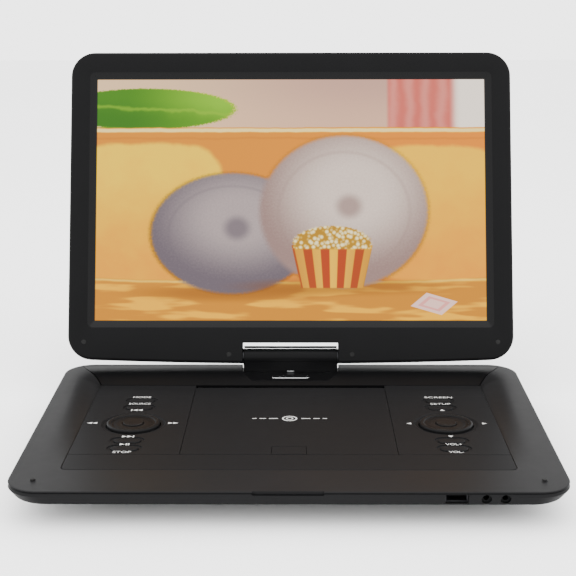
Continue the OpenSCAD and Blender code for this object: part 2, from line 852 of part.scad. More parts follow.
module lid_back_cover() {
    color("#232325") on_lid() difference() {
        hull() {
            lid_slab(0, -bezel_side + eps, lid_back - lid_edge);
            lid_slab(lid_edge, lid_back - lid_edge, lid_back);
        }
        difference() {
            lid_slab(wall, -bezel_side - 1, lid_back - wall);
            lid_notch(wall);
        }
        block([-notch_hw, -20, -20], [notch_hw, 20, barrel_r + 0.4]);
        both_sides() x_rod(pin_r + 0.2, notch_hw - 1, notch_hw + 20);
    }
}

module lcd_panel() {
    color("#101216") on_lid()
        block([-153.4, lcd_y, pic_z - 3], [153.4, lcd_y + 1.4, pic_z + pic_h + 3]);
}

module backlight() {
    color("#d8d8d2") on_lid()
        block([-153.4, lcd_y + 1.5, pic_z - 3], [153.4, lcd_y + 4.6, pic_z + pic_h + 3]);
}

module lcd_brackets() {
    color("#a9abae") on_lid() both_sides()
        block([153.6, lcd_y, pic_z - 3], [155.4, lcd_y + 5, pic_z + pic_h + 3]);
}

module driver_board() {
    color("#1f5a34") on_lid() {
        block([60, -1, 4], [140, 0.2, 20]);
        for (x = [70, 92, 114]) block([x, 0.2 - eps, 7], [x + 12, 2, 17]);
    }
}

module hinge_arms() {
    color("#a9abae") on_lid() both_sides() {
        x_rod(pin_r, barrel_hw - 13, notch_hw + 14);
        x_rod(5.6, barrel_hw + 0.1, notch_hw);
        block([notch_hw + 3, -1.2, -1], [notch_hw + 13, 1.2, 20]);
    }
}

module chrome_strip() {
    color("#e4e6e8") on_lid() difference() {
        block([-notch_hw + 0.1, -lid_front - 0.3, notch_z - 4.6], [notch_hw - 0.1, -lid_front + 1.4, notch_z - 0.05]);
        block([-notch_hw + 1.1, -20, notch_z - 10], [notch_hw - 1.1, 20, notch_z - 2.7]);
    }
}

module screw_plugs() {
    color("#1e1e20") on_lid() both_sides() for (p = plug_spots)
        translate([p[0], 0, p[1]]) y_rod(1.8, -lid_front - 0.1, -lid_front + 0.75);
}

// ---- drawing

base_lower_shell();
base_upper_shell();
rear_trim();
rear_ornament();
left_keypad_panel();
right_keypad_panel();
front_strip();
disc_well();
loader_chassis();
loader_dampers();
guide_rods();
spindle_motor();
sled_motor();
main_board();
key_boards();
battery_pack();
battery_cover();
speakers();
rubber_feet();
case_screws();
rim_bumpers();
dc_jack();
av_jack();
headphone_jack();
usb_socket();
swivel_bracket();
swivel_shaft();
hinge_frame();
barrel_cover();
retaining_ring();
lid_bezel();
lid_back_cover();
lcd_panel();
backlight();
lcd_brackets();
driver_board();
hinge_arms();
chrome_strip();
screw_plugs();
disc_door();
latch_button();
latch_hook();
spindle_hub();
pickup_sled();
lead_screw();
mode_button();
source_button();
play_button();
stop_button();
screen_button();
setup_button();
volume_up_button();
volume_down_button();
skip_ring();
menu_ring();
skip_centre_button();
menu_centre_button();
skip_web();
menu_web();
power_switch();
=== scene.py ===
import json
import math

import bmesh
import bpy
import numpy as np
from bpy.props import FloatProperty, FloatVectorProperty, PointerProperty
from mathutils import Matrix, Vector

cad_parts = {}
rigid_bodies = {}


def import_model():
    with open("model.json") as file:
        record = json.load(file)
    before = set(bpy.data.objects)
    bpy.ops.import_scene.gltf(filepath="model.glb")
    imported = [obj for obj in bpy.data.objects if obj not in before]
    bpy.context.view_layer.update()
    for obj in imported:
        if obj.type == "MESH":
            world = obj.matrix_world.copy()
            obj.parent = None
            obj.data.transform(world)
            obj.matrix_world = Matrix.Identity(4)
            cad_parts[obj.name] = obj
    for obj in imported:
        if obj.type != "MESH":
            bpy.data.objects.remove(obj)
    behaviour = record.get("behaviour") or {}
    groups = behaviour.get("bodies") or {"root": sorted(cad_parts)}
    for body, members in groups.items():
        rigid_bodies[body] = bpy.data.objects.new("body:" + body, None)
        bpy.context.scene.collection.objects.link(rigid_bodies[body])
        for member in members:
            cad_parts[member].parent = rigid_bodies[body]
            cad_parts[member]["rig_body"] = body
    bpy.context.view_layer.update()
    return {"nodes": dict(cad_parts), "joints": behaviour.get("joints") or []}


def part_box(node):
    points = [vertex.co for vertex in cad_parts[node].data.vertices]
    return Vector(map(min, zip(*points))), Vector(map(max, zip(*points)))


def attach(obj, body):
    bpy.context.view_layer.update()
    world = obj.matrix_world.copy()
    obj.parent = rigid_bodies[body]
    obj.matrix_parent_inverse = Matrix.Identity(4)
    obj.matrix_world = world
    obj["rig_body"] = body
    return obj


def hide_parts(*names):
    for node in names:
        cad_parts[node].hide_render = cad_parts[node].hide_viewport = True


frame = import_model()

bl_info = {
    "name": "Portable disc player looks",
    "version": (1, 0, 0),
    "blender": (4, 5, 0),
    "location": "View3D > Sidebar > Player",
    "description": "Gives the player's CAD frame its finished pieces, materials and stage",
    "category": "Object",
}

# Every size below is in millimetres unless it says otherwise; MM turns it into the frame's metres.
MM = 0.001
SHELL_LOW, SHELL_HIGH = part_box("base_upper_shell")
MID_Y = (SHELL_LOW.y + SHELL_HIGH.y) / 2 / MM
BASE_W = (SHELL_HIGH.x - SHELL_LOW.x) / MM
BASE_D = (SHELL_HIGH.y - SHELL_LOW.y) / MM
RIM_Z = SHELL_HIGH.z / MM
SPLIT_Z = SHELL_LOW.z / MM
CORNER_R = 21.0
RIM_H = 3.3
TUCK = 2.5
TUCK_R = 23.0
REAR_SHARE = 0.25
DECK_FRONT = 34.0 - BASE_D / 2
DECK_TILT = math.radians(1.65)
DECK_L = 170.8
DECK_HW = 141.5
DECK_R = 4.0
SEAM = 0.15
RECESS_HW = 21.3
RECESS_DEPTH = 2.0
PORT_R = 3.1
SWIVEL_Y = BASE_D / 2 - 6.0
POCKET_R = 37.2
POCKET_Z = RIM_Z - 2.8
PORT_Z = RIM_Z - 4.9
LID_LEAN = math.radians(19.5)
LID_HW = 170.3
LID_TOP = 236.0
LID_DROP = 5.4
LID_BOW = 2.7
LID_CORNER = 18.5
LID_HALF = 6.5
NOTCH_HW = 36.3
NOTCH_Z = 10.3
BACK_NOTCH_Z = 6.4
PICTURE_HW = 150.4
PICTURE_Z = 27.0
PICTURE_H = 188.2
BEVEL_W = 5.0
PAD_X = 106.8
PAD_Y = 85.4
RING_R = 18.2
CENTRE_R = 6.9

TILT = next(j for j in frame["joints"] if j["name"] == "lid_tilt")["pos_m"]
BASE = Matrix.Translation((0, MID_Y * MM, 0)) @ Matrix.Scale(MM, 4)
DECK = (
    Matrix.Translation((0, (MID_Y + DECK_FRONT) * MM, RIM_Z * MM))
    @ Matrix.Rotation(-DECK_TILT, 4, "X")
    @ Matrix.Scale(MM, 4)
)
LID = Matrix.Translation(TILT) @ Matrix.Rotation(-LID_LEAN, 4, "X") @ Matrix.Scale(MM, 4)


# ---- shader expressions


class Value:
    """A shader socket that can stand in a sum or a product, so that a pattern reads as its formula."""

    def __init__(self, finish, socket):
        self.finish = finish
        self.socket = socket

    def join(self, operation, first, second=0.0):
        return self.finish.node("ShaderNodeMath", {"operation": operation}, {0: first, 1: second})

    def __add__(self, other):
        return self.join("ADD", self, other)

    def __radd__(self, other):
        return self.join("ADD", other, self)

    def __sub__(self, other):
        return self.join("SUBTRACT", self, other)

    def __rsub__(self, other):
        return self.join("SUBTRACT", other, self)

    def __mul__(self, other):
        return self.join("MULTIPLY", self, other)

    def __rmul__(self, other):
        return self.join("MULTIPLY", other, self)

    def __truediv__(self, other):
        return self.join("DIVIDE", self, other)

    def __pow__(self, other):
        return self.join("POWER", self, other)

    def size(self):
        return self.join("ABSOLUTE", self)

    def root(self):
        return self.join("SQRT", self)

    def wave(self):
        return self.join("SINE", self)

    def part(self):
        return self.join("FRACT", self)

    def lower(self, other):
        return self.join("MINIMUM", self, other)

    def upper(self, other):
        return self.join("MAXIMUM", self, other)

    def rise(self, start, end):
        """0 before start, 1 after end, and a smooth ramp between them; start may be above end."""
        settings = {"interpolation_type": "SMOOTHSTEP", "clamp": True}
        if start < end:
            inputs = {"Value": self, "From Min": start, "From Max": end}
            return self.finish.node("ShaderNodeMapRange", settings, inputs)
        inputs = {"Value": self, "From Min": end, "From Max": start, "To Min": 1.0, "To Max": 0.0}
        return self.finish.node("ShaderNodeMapRange", settings, inputs)

    def between(self, low, high, soft):
        """1 from low to high with soft edges, 0 outside."""
        return self.rise(low - soft, low + soft) * self.rise(high + soft, high - soft)


class Finish:
    """One node material on the standard shader, whose patterns are expressions on Value."""

    def __init__(self, name, **constants):
        self.material = bpy.data.materials.new(name)
        self.material.use_nodes = True
        self.tree = self.material.node_tree
        self.tree.nodes.clear()
        output = self.tree.nodes.new("ShaderNodeOutputMaterial")
        self.shader = self.tree.nodes.new("ShaderNodeBsdfPrincipled")
        self.tree.links.new(self.shader.outputs[0], output.inputs[0])
        for key, value in constants.items():
            self.feed(key.replace("_", " "), value)

    def put(self, socket, value):
        if isinstance(value, Value):
            self.tree.links.new(value.socket, socket)
        elif socket.type == "RGBA":
            socket.default_value = (*value[:3], 1.0)
        else:
            socket.default_value = value

    def feed(self, name, value):
        self.put(self.shader.inputs[name], value)

    def node(self, kind, settings=None, inputs=None, output=0):
        made = self.tree.nodes.new(kind)
        for key, value in (settings or {}).items():
            if key == "stops":
                for stop in value[2:]:
                    made.color_ramp.elements.new(stop[0])
                for element, stop in zip(made.color_ramp.elements, value):
                    element.position = stop[0]
                    element.color = (*stop[1], 1.0)
            else:
                setattr(made, key, value)
        for key, value in (inputs or {}).items():
            self.put(made.inputs[key], value)
        return Value(self, made.outputs[output])

    def place(self, scale=(1.0, 1.0, 1.0), turn=(0.0, 0.0, 0.0)):
        """The piece's own coordinates in metres, turned and stretched."""
        where = self.node("ShaderNodeTexCoord", output="Object")
        return self.node("ShaderNodeMapping", {}, {"Vector": where, "Scale": scale, "Rotation": turn})

    def noise(self, where, scale, detail=4.0, roughness=0.55):
        inputs = {"Vector": where, "Scale": scale, "Detail": detail, "Roughness": roughness}
        return self.node("ShaderNodeTexNoise", {}, inputs, "Fac")

    def cells(self, where, scale, feature="F1", output="Distance"):
        inputs = {"Vector": where, "Scale": scale}
        return self.node("ShaderNodeTexVoronoi", {"feature": feature}, inputs, output)

    def mix(self, share, first, second, blend="MIX"):
        settings = {"data_type": "RGBA", "blend_type": blend}
        return self.node("ShaderNodeMix", settings, {0: share, 6: first, 7: second}, 2)

    def bump(self, height, depth):
        """Feeds the normal from a height, where depth is the height's full travel in millimetres."""
        inputs = {"Height": height, "Distance": depth * MM, "Strength": 1.0}
        self.feed("Normal", self.node("ShaderNodeBump", {}, inputs))


def axes(finish, where):
    """The three coordinates of a vector as values."""
    made = finish.node("ShaderNodeSeparateXYZ", {}, {0: where})
    outputs = made.socket.node.outputs
    return [Value(finish, outputs[i]) for i in range(3)]


def moulded(name, dark, light, rough, grain=0.012, spec=0.03):
    """Moulded plastic: cloudy colour, uneven sheen and a fine spark-eroded grain."""
    f = Finish(name, Specular_IOR_Level=spec)
    where = f.place()
    cloud = f.noise(where, 35.0, 3.0)
    fine = f.noise(where, 2600.0, 2.0)
    wear = f.noise(where, 140.0, 5.0, 0.65)
    f.feed("Base Color", f.mix(cloud * 0.6 + fine * 0.4, dark, light))
    f.feed("Roughness", rough - 0.05 + wear * 0.1)
    f.bump(fine * 0.7 + wear * 0.3, grain)
    return f.material


def lined(name, dark, light, rough):
    """Dark plastic with fine lines along X, as from a brushed mould, and a faint crease near the hinge."""
    f = Finish(name, Specular_IOR_Level=0.014)
    fine = f.noise(f.place((1.0, 60.0, 60.0)), 60.0, 3.0, 0.7)
    broad = f.noise(f.place((1.0, 60.0, 0.0)), 9.0, 2.0, 0.6)
    cloud = f.noise(f.place(), 30.0, 3.0)
    y = axes(f, f.place())[1]
    crease_y = (MID_Y + 180.1 - BASE_D / 2) * MM
    crease = (y - crease_y).size().rise(0.5 * MM, 0.1 * MM)
    f.feed("Base Color", f.mix(broad * 0.5 + fine * 0.5, dark, light))
    f.feed("Roughness", rough - 0.08 + fine * 0.1 + cloud * 0.08)
    f.bump(fine * 0.35 + broad * 0.65 - crease * 3.0, 0.02)
    return f.material


def metal(name, colour, rough, line_scale, grain=0.004):
    """Metal with drawn lines along X and slow patches of tarnish."""
    f = Finish(name, Metallic=1.0)
    lines = f.noise(f.place((1.0, line_scale, line_scale)), 30.0, 4.0, 0.7)
    patch = f.noise(f.place(), 90.0, 4.0)
    f.feed("Base Color", f.mix(patch * 0.5 + lines * 0.25, colour, tuple(c * 0.78 for c in colour)))
    f.feed("Roughness", rough + lines * 0.1 + patch * 0.06)
    f.bump(lines, grain)
    return f.material


def threaded(name, colour):
    """Turned brass with a fine thread along X."""
    f = Finish(name, Metallic=1.0)
    x = axes(f, f.place())[0]
    thread = (x * (2.0 * math.pi / (1.5 * MM))).wave() * 0.5 + 0.5
    patch = f.noise(f.place(), 120.0, 4.0)
    f.feed("Base Color", f.mix(thread * 0.6 + patch * 0.4, tuple(c * 0.5 for c in colour), colour))
    f.feed("Roughness", 0.2 + patch * 0.15)
    f.bump(thread, 0.25)
    return f.material


def soft(name, dark, light, grain):
    """Rubber: matt, dusty and slightly pitted."""
    f = Finish(name, Specular_IOR_Level=0.25)
    dust = f.noise(f.place(), 160.0, 5.0, 0.65)
    pits = f.cells(f.place(), 1500.0)
    f.feed("Base Color", f.mix(dust.rise(0.4, 0.7), dark, light))
    f.feed("Roughness", 0.75 + dust * 0.2)
    f.bump(pits, grain)
    return f.material


def circuit(name, mask_colour, trace_colour):
    """A circuit board: lacquer over copper traces, with tinned pads."""
    f = Finish(name, Specular_IOR_Level=0.5)
    where = f.place((1.0, 1.0, 0.0))
    trace = f.node(
        "ShaderNodeTexBrick",
        {"offset": 0.37, "squash": 0.7, "squash_frequency": 3},
        {"Vector": where, "Scale": 240.0, "Mortar Size": 0.09, "Brick Width": 1.7, "Row Height": 0.35},
        "Fac",
    )
    pad = f.cells(where, 320.0).rise(0.16, 0.12)
    haze = f.noise(where, 90.0)
    green = f.mix(trace * 0.8, mask_colour, trace_colour)
    f.feed("Base Color", f.mix(pad, green, (0.55, 0.55, 0.52)))
    f.feed("Roughness", 0.3 + haze * 0.2)
    f.feed("Metallic", pad * 0.9)
    f.bump(trace * 0.5 + pad, 0.03)
    return f.material


def sleeve(name, colour):
    """Shrink sleeve: glossy film with soft wrinkles across its length."""
    f = Finish(name, Specular_IOR_Level=0.5)
    fold = f.noise(f.place((1.0, 0.25, 1.0)), 110.0, 3.0)
    tone = f.noise(f.place(), 25.0)
    f.feed("Base Color", f.mix(tone, colour, tuple(c * 1.6 for c in colour)))
    f.feed("Roughness", 0.22 + fold * 0.2)
    f.bump(fold, 0.25)
    return f.material


def paper(name, dark, light):
    """Pressed fibre of a speaker cone."""
    f = Finish(name, Specular_IOR_Level=0.2)
    fibre = f.noise(f.place((1.0, 3.0, 1.0)), 500.0, 5.0, 0.7)
    f.feed("Base Color", f.mix(fibre, dark, light))
    f.feed("Roughness", 0.75 + fibre * 0.2)
    f.bump(fibre, 0.06)
    return f.material


def diffuser(name):
    """White sheet with a fine grid of light dots."""
    f = Finish(name, Specular_IOR_Level=0.4)
    dots = f.cells(f.place(), 700.0)
    f.feed("Base Color", f.mix(dots, (0.85, 0.85, 0.83), (0.6, 0.6, 0.6)))
    f.feed("Roughness", 0.3 + dots * 0.2)
    f.bump(dots, 0.02)
    return f.material


def paint(name, colour):
    """Screen-printed ink: even, slightly worn and softly raised."""
    f = Finish(name, Specular_IOR_Level=0.3)
    wear = f.noise(f.place(), 900.0, 4.0, 0.7)
    f.feed("Base Color", f.mix(wear.rise(0.6, 0.85), colour, tuple(c * 0.6 for c in colour)))
    f.feed("Roughness", 0.5 + wear * 0.2)
    f.bump(wear, 0.008)
    return f.material


def floor_paint(name, colour):
    """Pale seamless floor."""
    f = Finish(name, Specular_IOR_Level=0.15)
    tone = f.noise(f.place(), 3.0, 3.0)
    f.feed("Base Color", f.mix(tone, colour, tuple(c * 0.985 for c in colour)))
    f.feed("Roughness", 0.7 + tone * 0.1)
    return f.material


def picture(name):
    """A lit panel that shows a still life: a sofa with cushions, a leaf, a curtain and a tub of popcorn.

    Every part is a soft mask in the panel's own coordinates, laid over the ones before it:
    u runs 0 to 1 across and w 0 to 1 down the picture, and a is u in units of the height.
    """
    f = Finish(name, Base_Color=(0.002, 0.002, 0.0025), Specular_IOR_Level=0.1)
    u, v, _ = axes(f, f.node("ShaderNodeUVMap", {"uv_map": "picture"}))
    w = 1.0 - v
    a = u * 1.6
    flat = f.node("ShaderNodeCombineXYZ", {}, {0: a, 1: w, 2: 0.0})
    cloth = f.noise(flat, 9.0, 3.0) - 0.5
    fine = f.noise(flat, 120.0, 3.0) - 0.5

    def oval(cx, cy, rx, ry, soft=0.06, rough=0.0):
        """1 inside an oval, with a soft and perhaps ragged edge."""
        far = (((a - cx) / rx) ** 2.0 + ((w - cy) / ry) ** 2.0).root() + fine * rough
        return far.rise(1.0 + soft, 1.0 - soft)

    def pillow(cx, cy, rx, ry, soft=0.04):
        """1 inside a square with bulging sides: the fourth powers of both distances add up to 1."""
        far = (((a - cx) / rx) ** 4.0 + ((w - cy) / ry) ** 4.0) ** 0.25 + cloth * 0.1
        return far.rise(1.0 + soft, 1.0 - soft)

    wall = f.mix(u.rise(0.0, 0.7), (0.86, 0.70, 0.54), (0.66, 0.50, 0.44))
    tone = f.mix(w.rise(0.0, 0.2) * 0.4, wall, (0.95, 0.74, 0.58))
    folds = ((u + cloth * 0.03) * 150.0).wave() * 0.5 + 0.5
    pink = f.mix(folds * 0.5, (0.72, 0.36, 0.33), (0.86, 0.55, 0.50))
    tone = f.mix(u.between(0.75, 0.925, 0.006), tone, pink)
    tone = f.mix(u.rise(0.905, 0.94), tone, (1.0, 0.93, 0.86))
    # leaf with a midrib
    rib = w - 0.115 - a * 0.05 + cloth * 0.05
    blade = oval(0.2, 0.125, 0.37, 0.085, 0.05, 0.15)
    green = f.mix(a.rise(0.1, 0.55), (0.14, 0.33, 0.02), (0.36, 0.62, 0.03))
    green = f.mix(rib.size().rise(0.012, 0.0) * 0.6, green, (0.5, 0.7, 0.15))
    tone = f.mix(blade, tone, f.mix(rib.rise(-0.05, 0.05) * 0.45, green, (0.06, 0.22, 0.01)))
    tone = f.mix(oval(0.05, 0.24, 0.16, 0.04, 0.1), tone, (0.16, 0.36, 0.03))
    # sofa back, lit along its top edge
    back = (w + cloth * 0.012).rise(0.2, 0.206)
    orange = f.mix(u.rise(0.3, 0.95), (0.78, 0.42, 0.16), (0.86, 0.38, 0.05))
    orange = f.mix(w.rise(0.3, 0.75) * 0.5, orange, (0.80, 0.34, 0.05))
    tone = f.mix(back, tone, orange)
    tone = f.mix((w + cloth * 0.012).between(0.206, 0.222, 0.004), tone, (1.0, 0.86, 0.55))
    tone = f.mix((w + cloth * 0.02).between(0.245, 0.25, 0.006) * 0.5, tone, (0.6, 0.28, 0.08))
    # square cushions, lit from the right
    lit = f.mix(w.rise(0.3, 0.82) * 0.75 + cloth * 0.5, (1.0, 0.74, 0.16), (0.88, 0.42, 0.03))
    tone = f.mix(pillow(0.2, 0.56, 0.33, 0.29), tone, lit)
    tone = f.mix(pillow(1.4, 0.56, 0.3, 0.28), tone, f.mix(0.25, lit, (0.95, 0.45, 0.05)))
    # seat with streaks of light
    seat_edge = w + (u - 0.5) ** 2.0 * 0.06 + cloth * 0.01
    slant = {"Vector": flat, "Scale": (1.0, 7.0, 1.0), "Rotation": (0.0, 0.0, 0.22)}
    streak = f.noise(f.node("ShaderNodeMapping", {}, slant), 3.0, 2.0)
    seat = f.mix(streak.rise(0.5, 0.62), (0.70, 0.42, 0.20), (0.96, 0.66, 0.32))
    tone = f.mix(seat_edge.rise(0.835, 0.842), tone, seat)
    tone = f.mix(seat_edge.between(0.84, 0.85, 0.004) * 0.7, tone, (1.0, 0.80, 0.42))
    # two plain round cushions with buttoned middles
    for cx, cy, rx, ry, shade, bright in (
        (0.56, 0.64, 0.33, 0.245, (0.24, 0.21, 0.23), (0.56, 0.50, 0.49)),
        (1.02, 0.55, 0.34, 0.31, (0.42, 0.33, 0.31), (0.84, 0.76, 0.70)),
    ):
        rim = oval(cx, cy, rx * 1.02, ry * 1.02, 0.05, 0.05)
        glow = oval(cx + 0.1 * rx, cy - 0.25 * ry, rx * 0.75, ry * 0.7, 0.6)
        fur = f.mix(glow * 0.85 + fine * 0.3, shade, bright)
        tone = f.mix(oval(cx, cy + ry, rx, 0.03, 0.6) * 0.5, tone, (0.35, 0.16, 0.05))
        tone = f.mix(rim, tone, fur)
        tone = f.mix(oval(cx + 0.02, cy - 0.02, 0.05, 0.045, 0.5) * 0.75, tone, shade)
        seam = (((a - cx) / rx) ** 2.0 + ((w - cy) / ry) ** 2.0).root().between(0.78, 0.8, 0.03)
        tone = f.mix(seam * 0.4, tone, shade)
    # tub with stripes, and a heap of popcorn
    drop = (w - 0.68) / 0.2
    half = 0.165 - drop * 0.045
    inside = ((a - 0.97).size() - half).rise(0.006, -0.002) * w.between(0.69, 0.865, 0.003)
    stripes = (((a - 0.97) / half) * 14.0 + 1.0).wave()
    tub = f.mix(stripes.rise(-0.2, 0.3), (0.55, 0.12, 0.02), (0.95, 0.62, 0.06))
    tub = f.mix(((a - 0.97) / half).size() * 0.45, tub, (0.45, 0.16, 0.02))
    tone = f.mix(inside, tone, tub)
    puffs = f.cells(flat, 60.0)
    corn = f.mix(puffs.rise(0.15, 0.75), (1.0, 0.93, 0.68), (0.55, 0.36, 0.12))
    heap = oval(0.97, 0.685, 0.16, 0.075, 0.05, 0.25) * w.rise(0.712, 0.7)
    tone = f.mix(heap, tone, corn)
    # booklet lying on the seat
    du, dw = a - 1.385, w - 0.93
    sheet = ((du + dw * 1.2).size() / 0.085).upper((dw * 1.9 - du * 0.55).size() / 0.07)
    tone = f.mix(sheet.rise(1.03, 0.97), tone, (0.90, 0.72, 0.68))
    tone = f.mix(sheet.rise(0.72, 0.66) * 0.5, tone, (0.85, 0.42, 0.40))
    tone = f.mix(sheet.rise(0.5, 0.44) * 0.6, tone, (0.94, 0.82, 0.76))
    # a dark line round the lit field
    edge = (u - 0.5).size().rise(0.4995, 0.4975) * (w - 0.5).size().rise(0.4995, 0.496)
    deep = f.node("ShaderNodeGamma", {}, {"Color": tone, "Gamma": 1.5})
    vivid = f.node("ShaderNodeHueSaturation", {}, {"Saturation": 1.25, "Value": 1.0, "Color": deep})
    f.feed("Emission Color", f.mix(edge, (0.0, 0.0, 0.0), vivid))
    f.feed("Roughness", 0.28 + fine * 0.05)
    f.shader.inputs["Emission Strength"].default_value = 1.6
    return f.material


# ---- shapes on grids


def grid_faces(rows, columns, wrap_rows=False, wrap_columns=False):
    """The four corners of each cell of a grid of points, whose last row or column may meet the first."""
    r = np.arange(rows if wrap_rows else rows - 1)
    c = np.arange(columns if wrap_columns else columns - 1)
    r, c = np.meshgrid(r, c, indexing="ij")
    r2, c2 = (r + 1) % rows, (c + 1) % columns
    corners = [r * columns + c, r * columns + c2, r2 * columns + c2, r2 * columns + c]
    return np.stack(corners, -1).reshape(-1, 4)


class Shape:
    """Gathers grids of points, in millimetres, into one mesh."""

    def __init__(self):
        self.points = []
        self.faces = []
        self.count = 0

    def add(self, points, faces):
        points = np.asarray(points, float).reshape(-1, 3)
        self.faces += [[self.count + i for i in face] for face in faces]
        self.points.append(points)
        self.count += len(points)

    def rings(self, rings, first=True, last=True, wrap=False):
        """Closed rings of equal count, skinned in order; the first and last may be filled in."""
        rings = np.asarray(rings, float)
        rows, columns = rings.shape[:2]
        faces = grid_faces(rows, columns, wrap, True).tolist()
        if first and not wrap:
            faces.append(list(range(columns))[::-1])
        if last and not wrap:
            faces.append(list(range((rows - 1) * columns, rows * columns)))
        self.add(rings, faces)

    def slab(self, top, drop):
        """A sheet of points and the same sheet lowered by drop, joined round the border."""
        top = np.asarray(top, float)
        rows, columns = top.shape[:2]
        low = top - np.array([0.0, 0.0, 1.0]) * drop
        upper = grid_faces(rows, columns)
        lower = upper[:, ::-1] + rows * columns
        index = np.arange(rows * columns).reshape(rows, columns)
        border = np.concatenate([index[0], index[1:, -1], index[-1, -2::-1], index[-2:0:-1, 0]])
        after = np.roll(border, -1)
        sides = np.stack([after, border, border + rows * columns, after + rows * columns], -1)
        faces = np.concatenate([upper, lower, sides]).tolist()
        self.add(np.concatenate([top.reshape(-1, 3), low.reshape(-1, 3)]), faces)

    def mesh(self, name, matrix, sharp=35.0):
        """The mesh in the frame's metres, faces outwards, smooth except across sharp edges."""
        mesh = bpy.data.meshes.new(name)
        mesh.from_pydata(np.concatenate(self.points).tolist(), [], self.faces)
        mesh.transform(matrix)
        work = bmesh.new()
        work.from_mesh(mesh)
        bmesh.ops.remove_doubles(work, verts=work.verts, dist=1e-6)
        bmesh.ops.recalc_face_normals(work, faces=work.faces)
        work.to_mesh(mesh)
        work.free()
        shade(mesh, sharp)
        return mesh


def shade(mesh, sharp):
    """Smooth faces, with sharp edges where faces meet by more than that many degrees."""
    mesh.polygons.foreach_set("use_smooth", np.ones(len(mesh.polygons), bool))
    mesh.set_sharp_from_angle(angle=math.radians(sharp))


def lathe(profile, count=96, centre=(0.0, 0.0)):
    """Rings for a profile of (radius, height) turned about Z: points are radius times cosine and sine."""
    profile = np.asarray(profile, float)
    angle = np.linspace(0.0, 2.0 * np.pi, count, endpoint=False)
    x = profile[:, :1] * np.cos(angle) + centre[0]
    y = profile[:, :1] * np.sin(angle) + centre[1]
    return np.stack([x, y, np.repeat(profile[:, 1:], count, 1)], -1)


def stadium(length, width, count=20):
    """A pill's outline: two half circles joined by straight sides."""
    half = np.linspace(-np.pi / 2, np.pi / 2, count)
    r = width / 2
    right = np.stack([(length / 2 - r) + r * np.cos(half), r * np.sin(half)], -1)
    left = np.stack([-(length / 2 - r) - r * np.cos(half), -r * np.sin(half)], -1)
    return np.concatenate([right, left])


def at_height(outline, z):
    """A flat outline as a ring at one height."""
    return np.concatenate([outline, np.full((len(outline), 1), float(z))], 1)


def quarter_round(radius, steps=5):
    """Pairs of inset and rise for a quarter circle: the inset is r(1 - cos), the rise r sin."""
    angle = np.linspace(0.0, np.pi / 2, steps)
    return [(radius * (1 - math.cos(t)), radius * math.sin(t)) for t in angle]


# ---- pieces


def add_piece(mesh, body, material, replaces=(), round_mm=0.0, segments=2, limit=30.0):
    """Links a piece, finishes its edges, hides the CAD nodes that it replaces and tells the frame what it
    rides on.
    """
    mesh.materials.clear()
    mesh.materials.append(material)
    piece = bpy.data.objects.new(mesh.name, mesh)
    bpy.context.scene.collection.objects.link(piece)
    if round_mm:
        bevel = piece.modifiers.new("edges", "BEVEL")
        bevel.width = round_mm * MM
        bevel.segments = segments
        bevel.limit_method = "ANGLE"
        bevel.angle_limit = math.radians(limit)
        bevel.harden_normals = True
    if replaces:
        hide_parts(*replaces)
    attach(piece, body)
    return piece


def finished_copy(node, material, round_mm=0.2, sharp=30.0, name=None):
    """A merged copy of a CAD node with its edges rounded, which stands for the node."""
    source = frame["nodes"][node]
    work = bmesh.new()
    work.from_mesh(source.data)
    bmesh.ops.remove_doubles(work, verts=work.verts, dist=2e-6)
    bmesh.ops.dissolve_limit(work, angle_limit=math.radians(0.4), verts=work.verts, edges=work.edges)
    mesh = bpy.data.meshes.new(name or node + "_finish")
    work.to_mesh(mesh)
    work.free()
    if "custom_normal" in mesh.attributes:
        mesh.attributes.remove(mesh.attributes["custom_normal"])
    shade(mesh, sharp)
    return add_piece(mesh, source["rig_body"], material, (node,), round_mm)


def dress(node, material):
    """Gives a CAD node that stays in view its material."""
    mesh = frame["nodes"][node].data
    mesh.materials.clear()
    mesh.materials.append(material)


def surface_depth(x, y):
    """How far the base's top lies below the rim.

    It is the deck's fall, times one minus a quarter sine across the side slope, times the same
    across the rear slope.
    """
    fall = np.clip(y - DECK_FRONT, 0.0, DECK_L * math.cos(DECK_TILT)) * math.tan(DECK_TILT)
    side = np.clip((np.abs(x) - DECK_HW) / 17.0, 0.0, 1.0)
    rear_start = DECK_FRONT + DECK_L * math.cos(DECK_TILT)
    rear = np.clip((y - rear_start) / 20.0, 0.0, 1.0)
    return fall * (1.0 - np.sin(side * np.pi / 2)) * (1.0 - np.sin(rear * np.pi / 2))


def port_tools():
    """Closed shapes of the ports' holes: two round ones and a slot in front, a slot on the right."""
    tools = []
    for x in (118.0, 129.4):
        tool = Shape()
        turn = np.linspace(0.0, 2 * np.pi, 48, endpoint=False)
        circle = np.stack([x + PORT_R * np.cos(turn), PORT_R * np.sin(turn) + PORT_Z], -1)
        tool.rings([standing(circle, -BASE_D / 2 - 2), standing(circle, -BASE_D / 2 + 14)])
        tools.append(tool.mesh("port_tool", BASE))
    for low, high in (
        ((93.6, -BASE_D / 2 - 2, PORT_Z - 3.1), (107.4, -BASE_D / 2 + 17.5, PORT_Z + 3.1)),
        ((BASE_W / 2 - 14, 23.0, PORT_Z - 1.9), (BASE_W / 2 + 2, 37.0, PORT_Z + 1.9)),
    ):
        tool = Shape()
        flat = np.array([(low[0], low[1]), (high[0], low[1]), (high[0], high[1]), (low[0], high[1])])
        tool.rings([at_height(flat, low[2]), at_height(flat, high[2])])
        tools.append(tool.mesh("port_tool", BASE))
    return tools


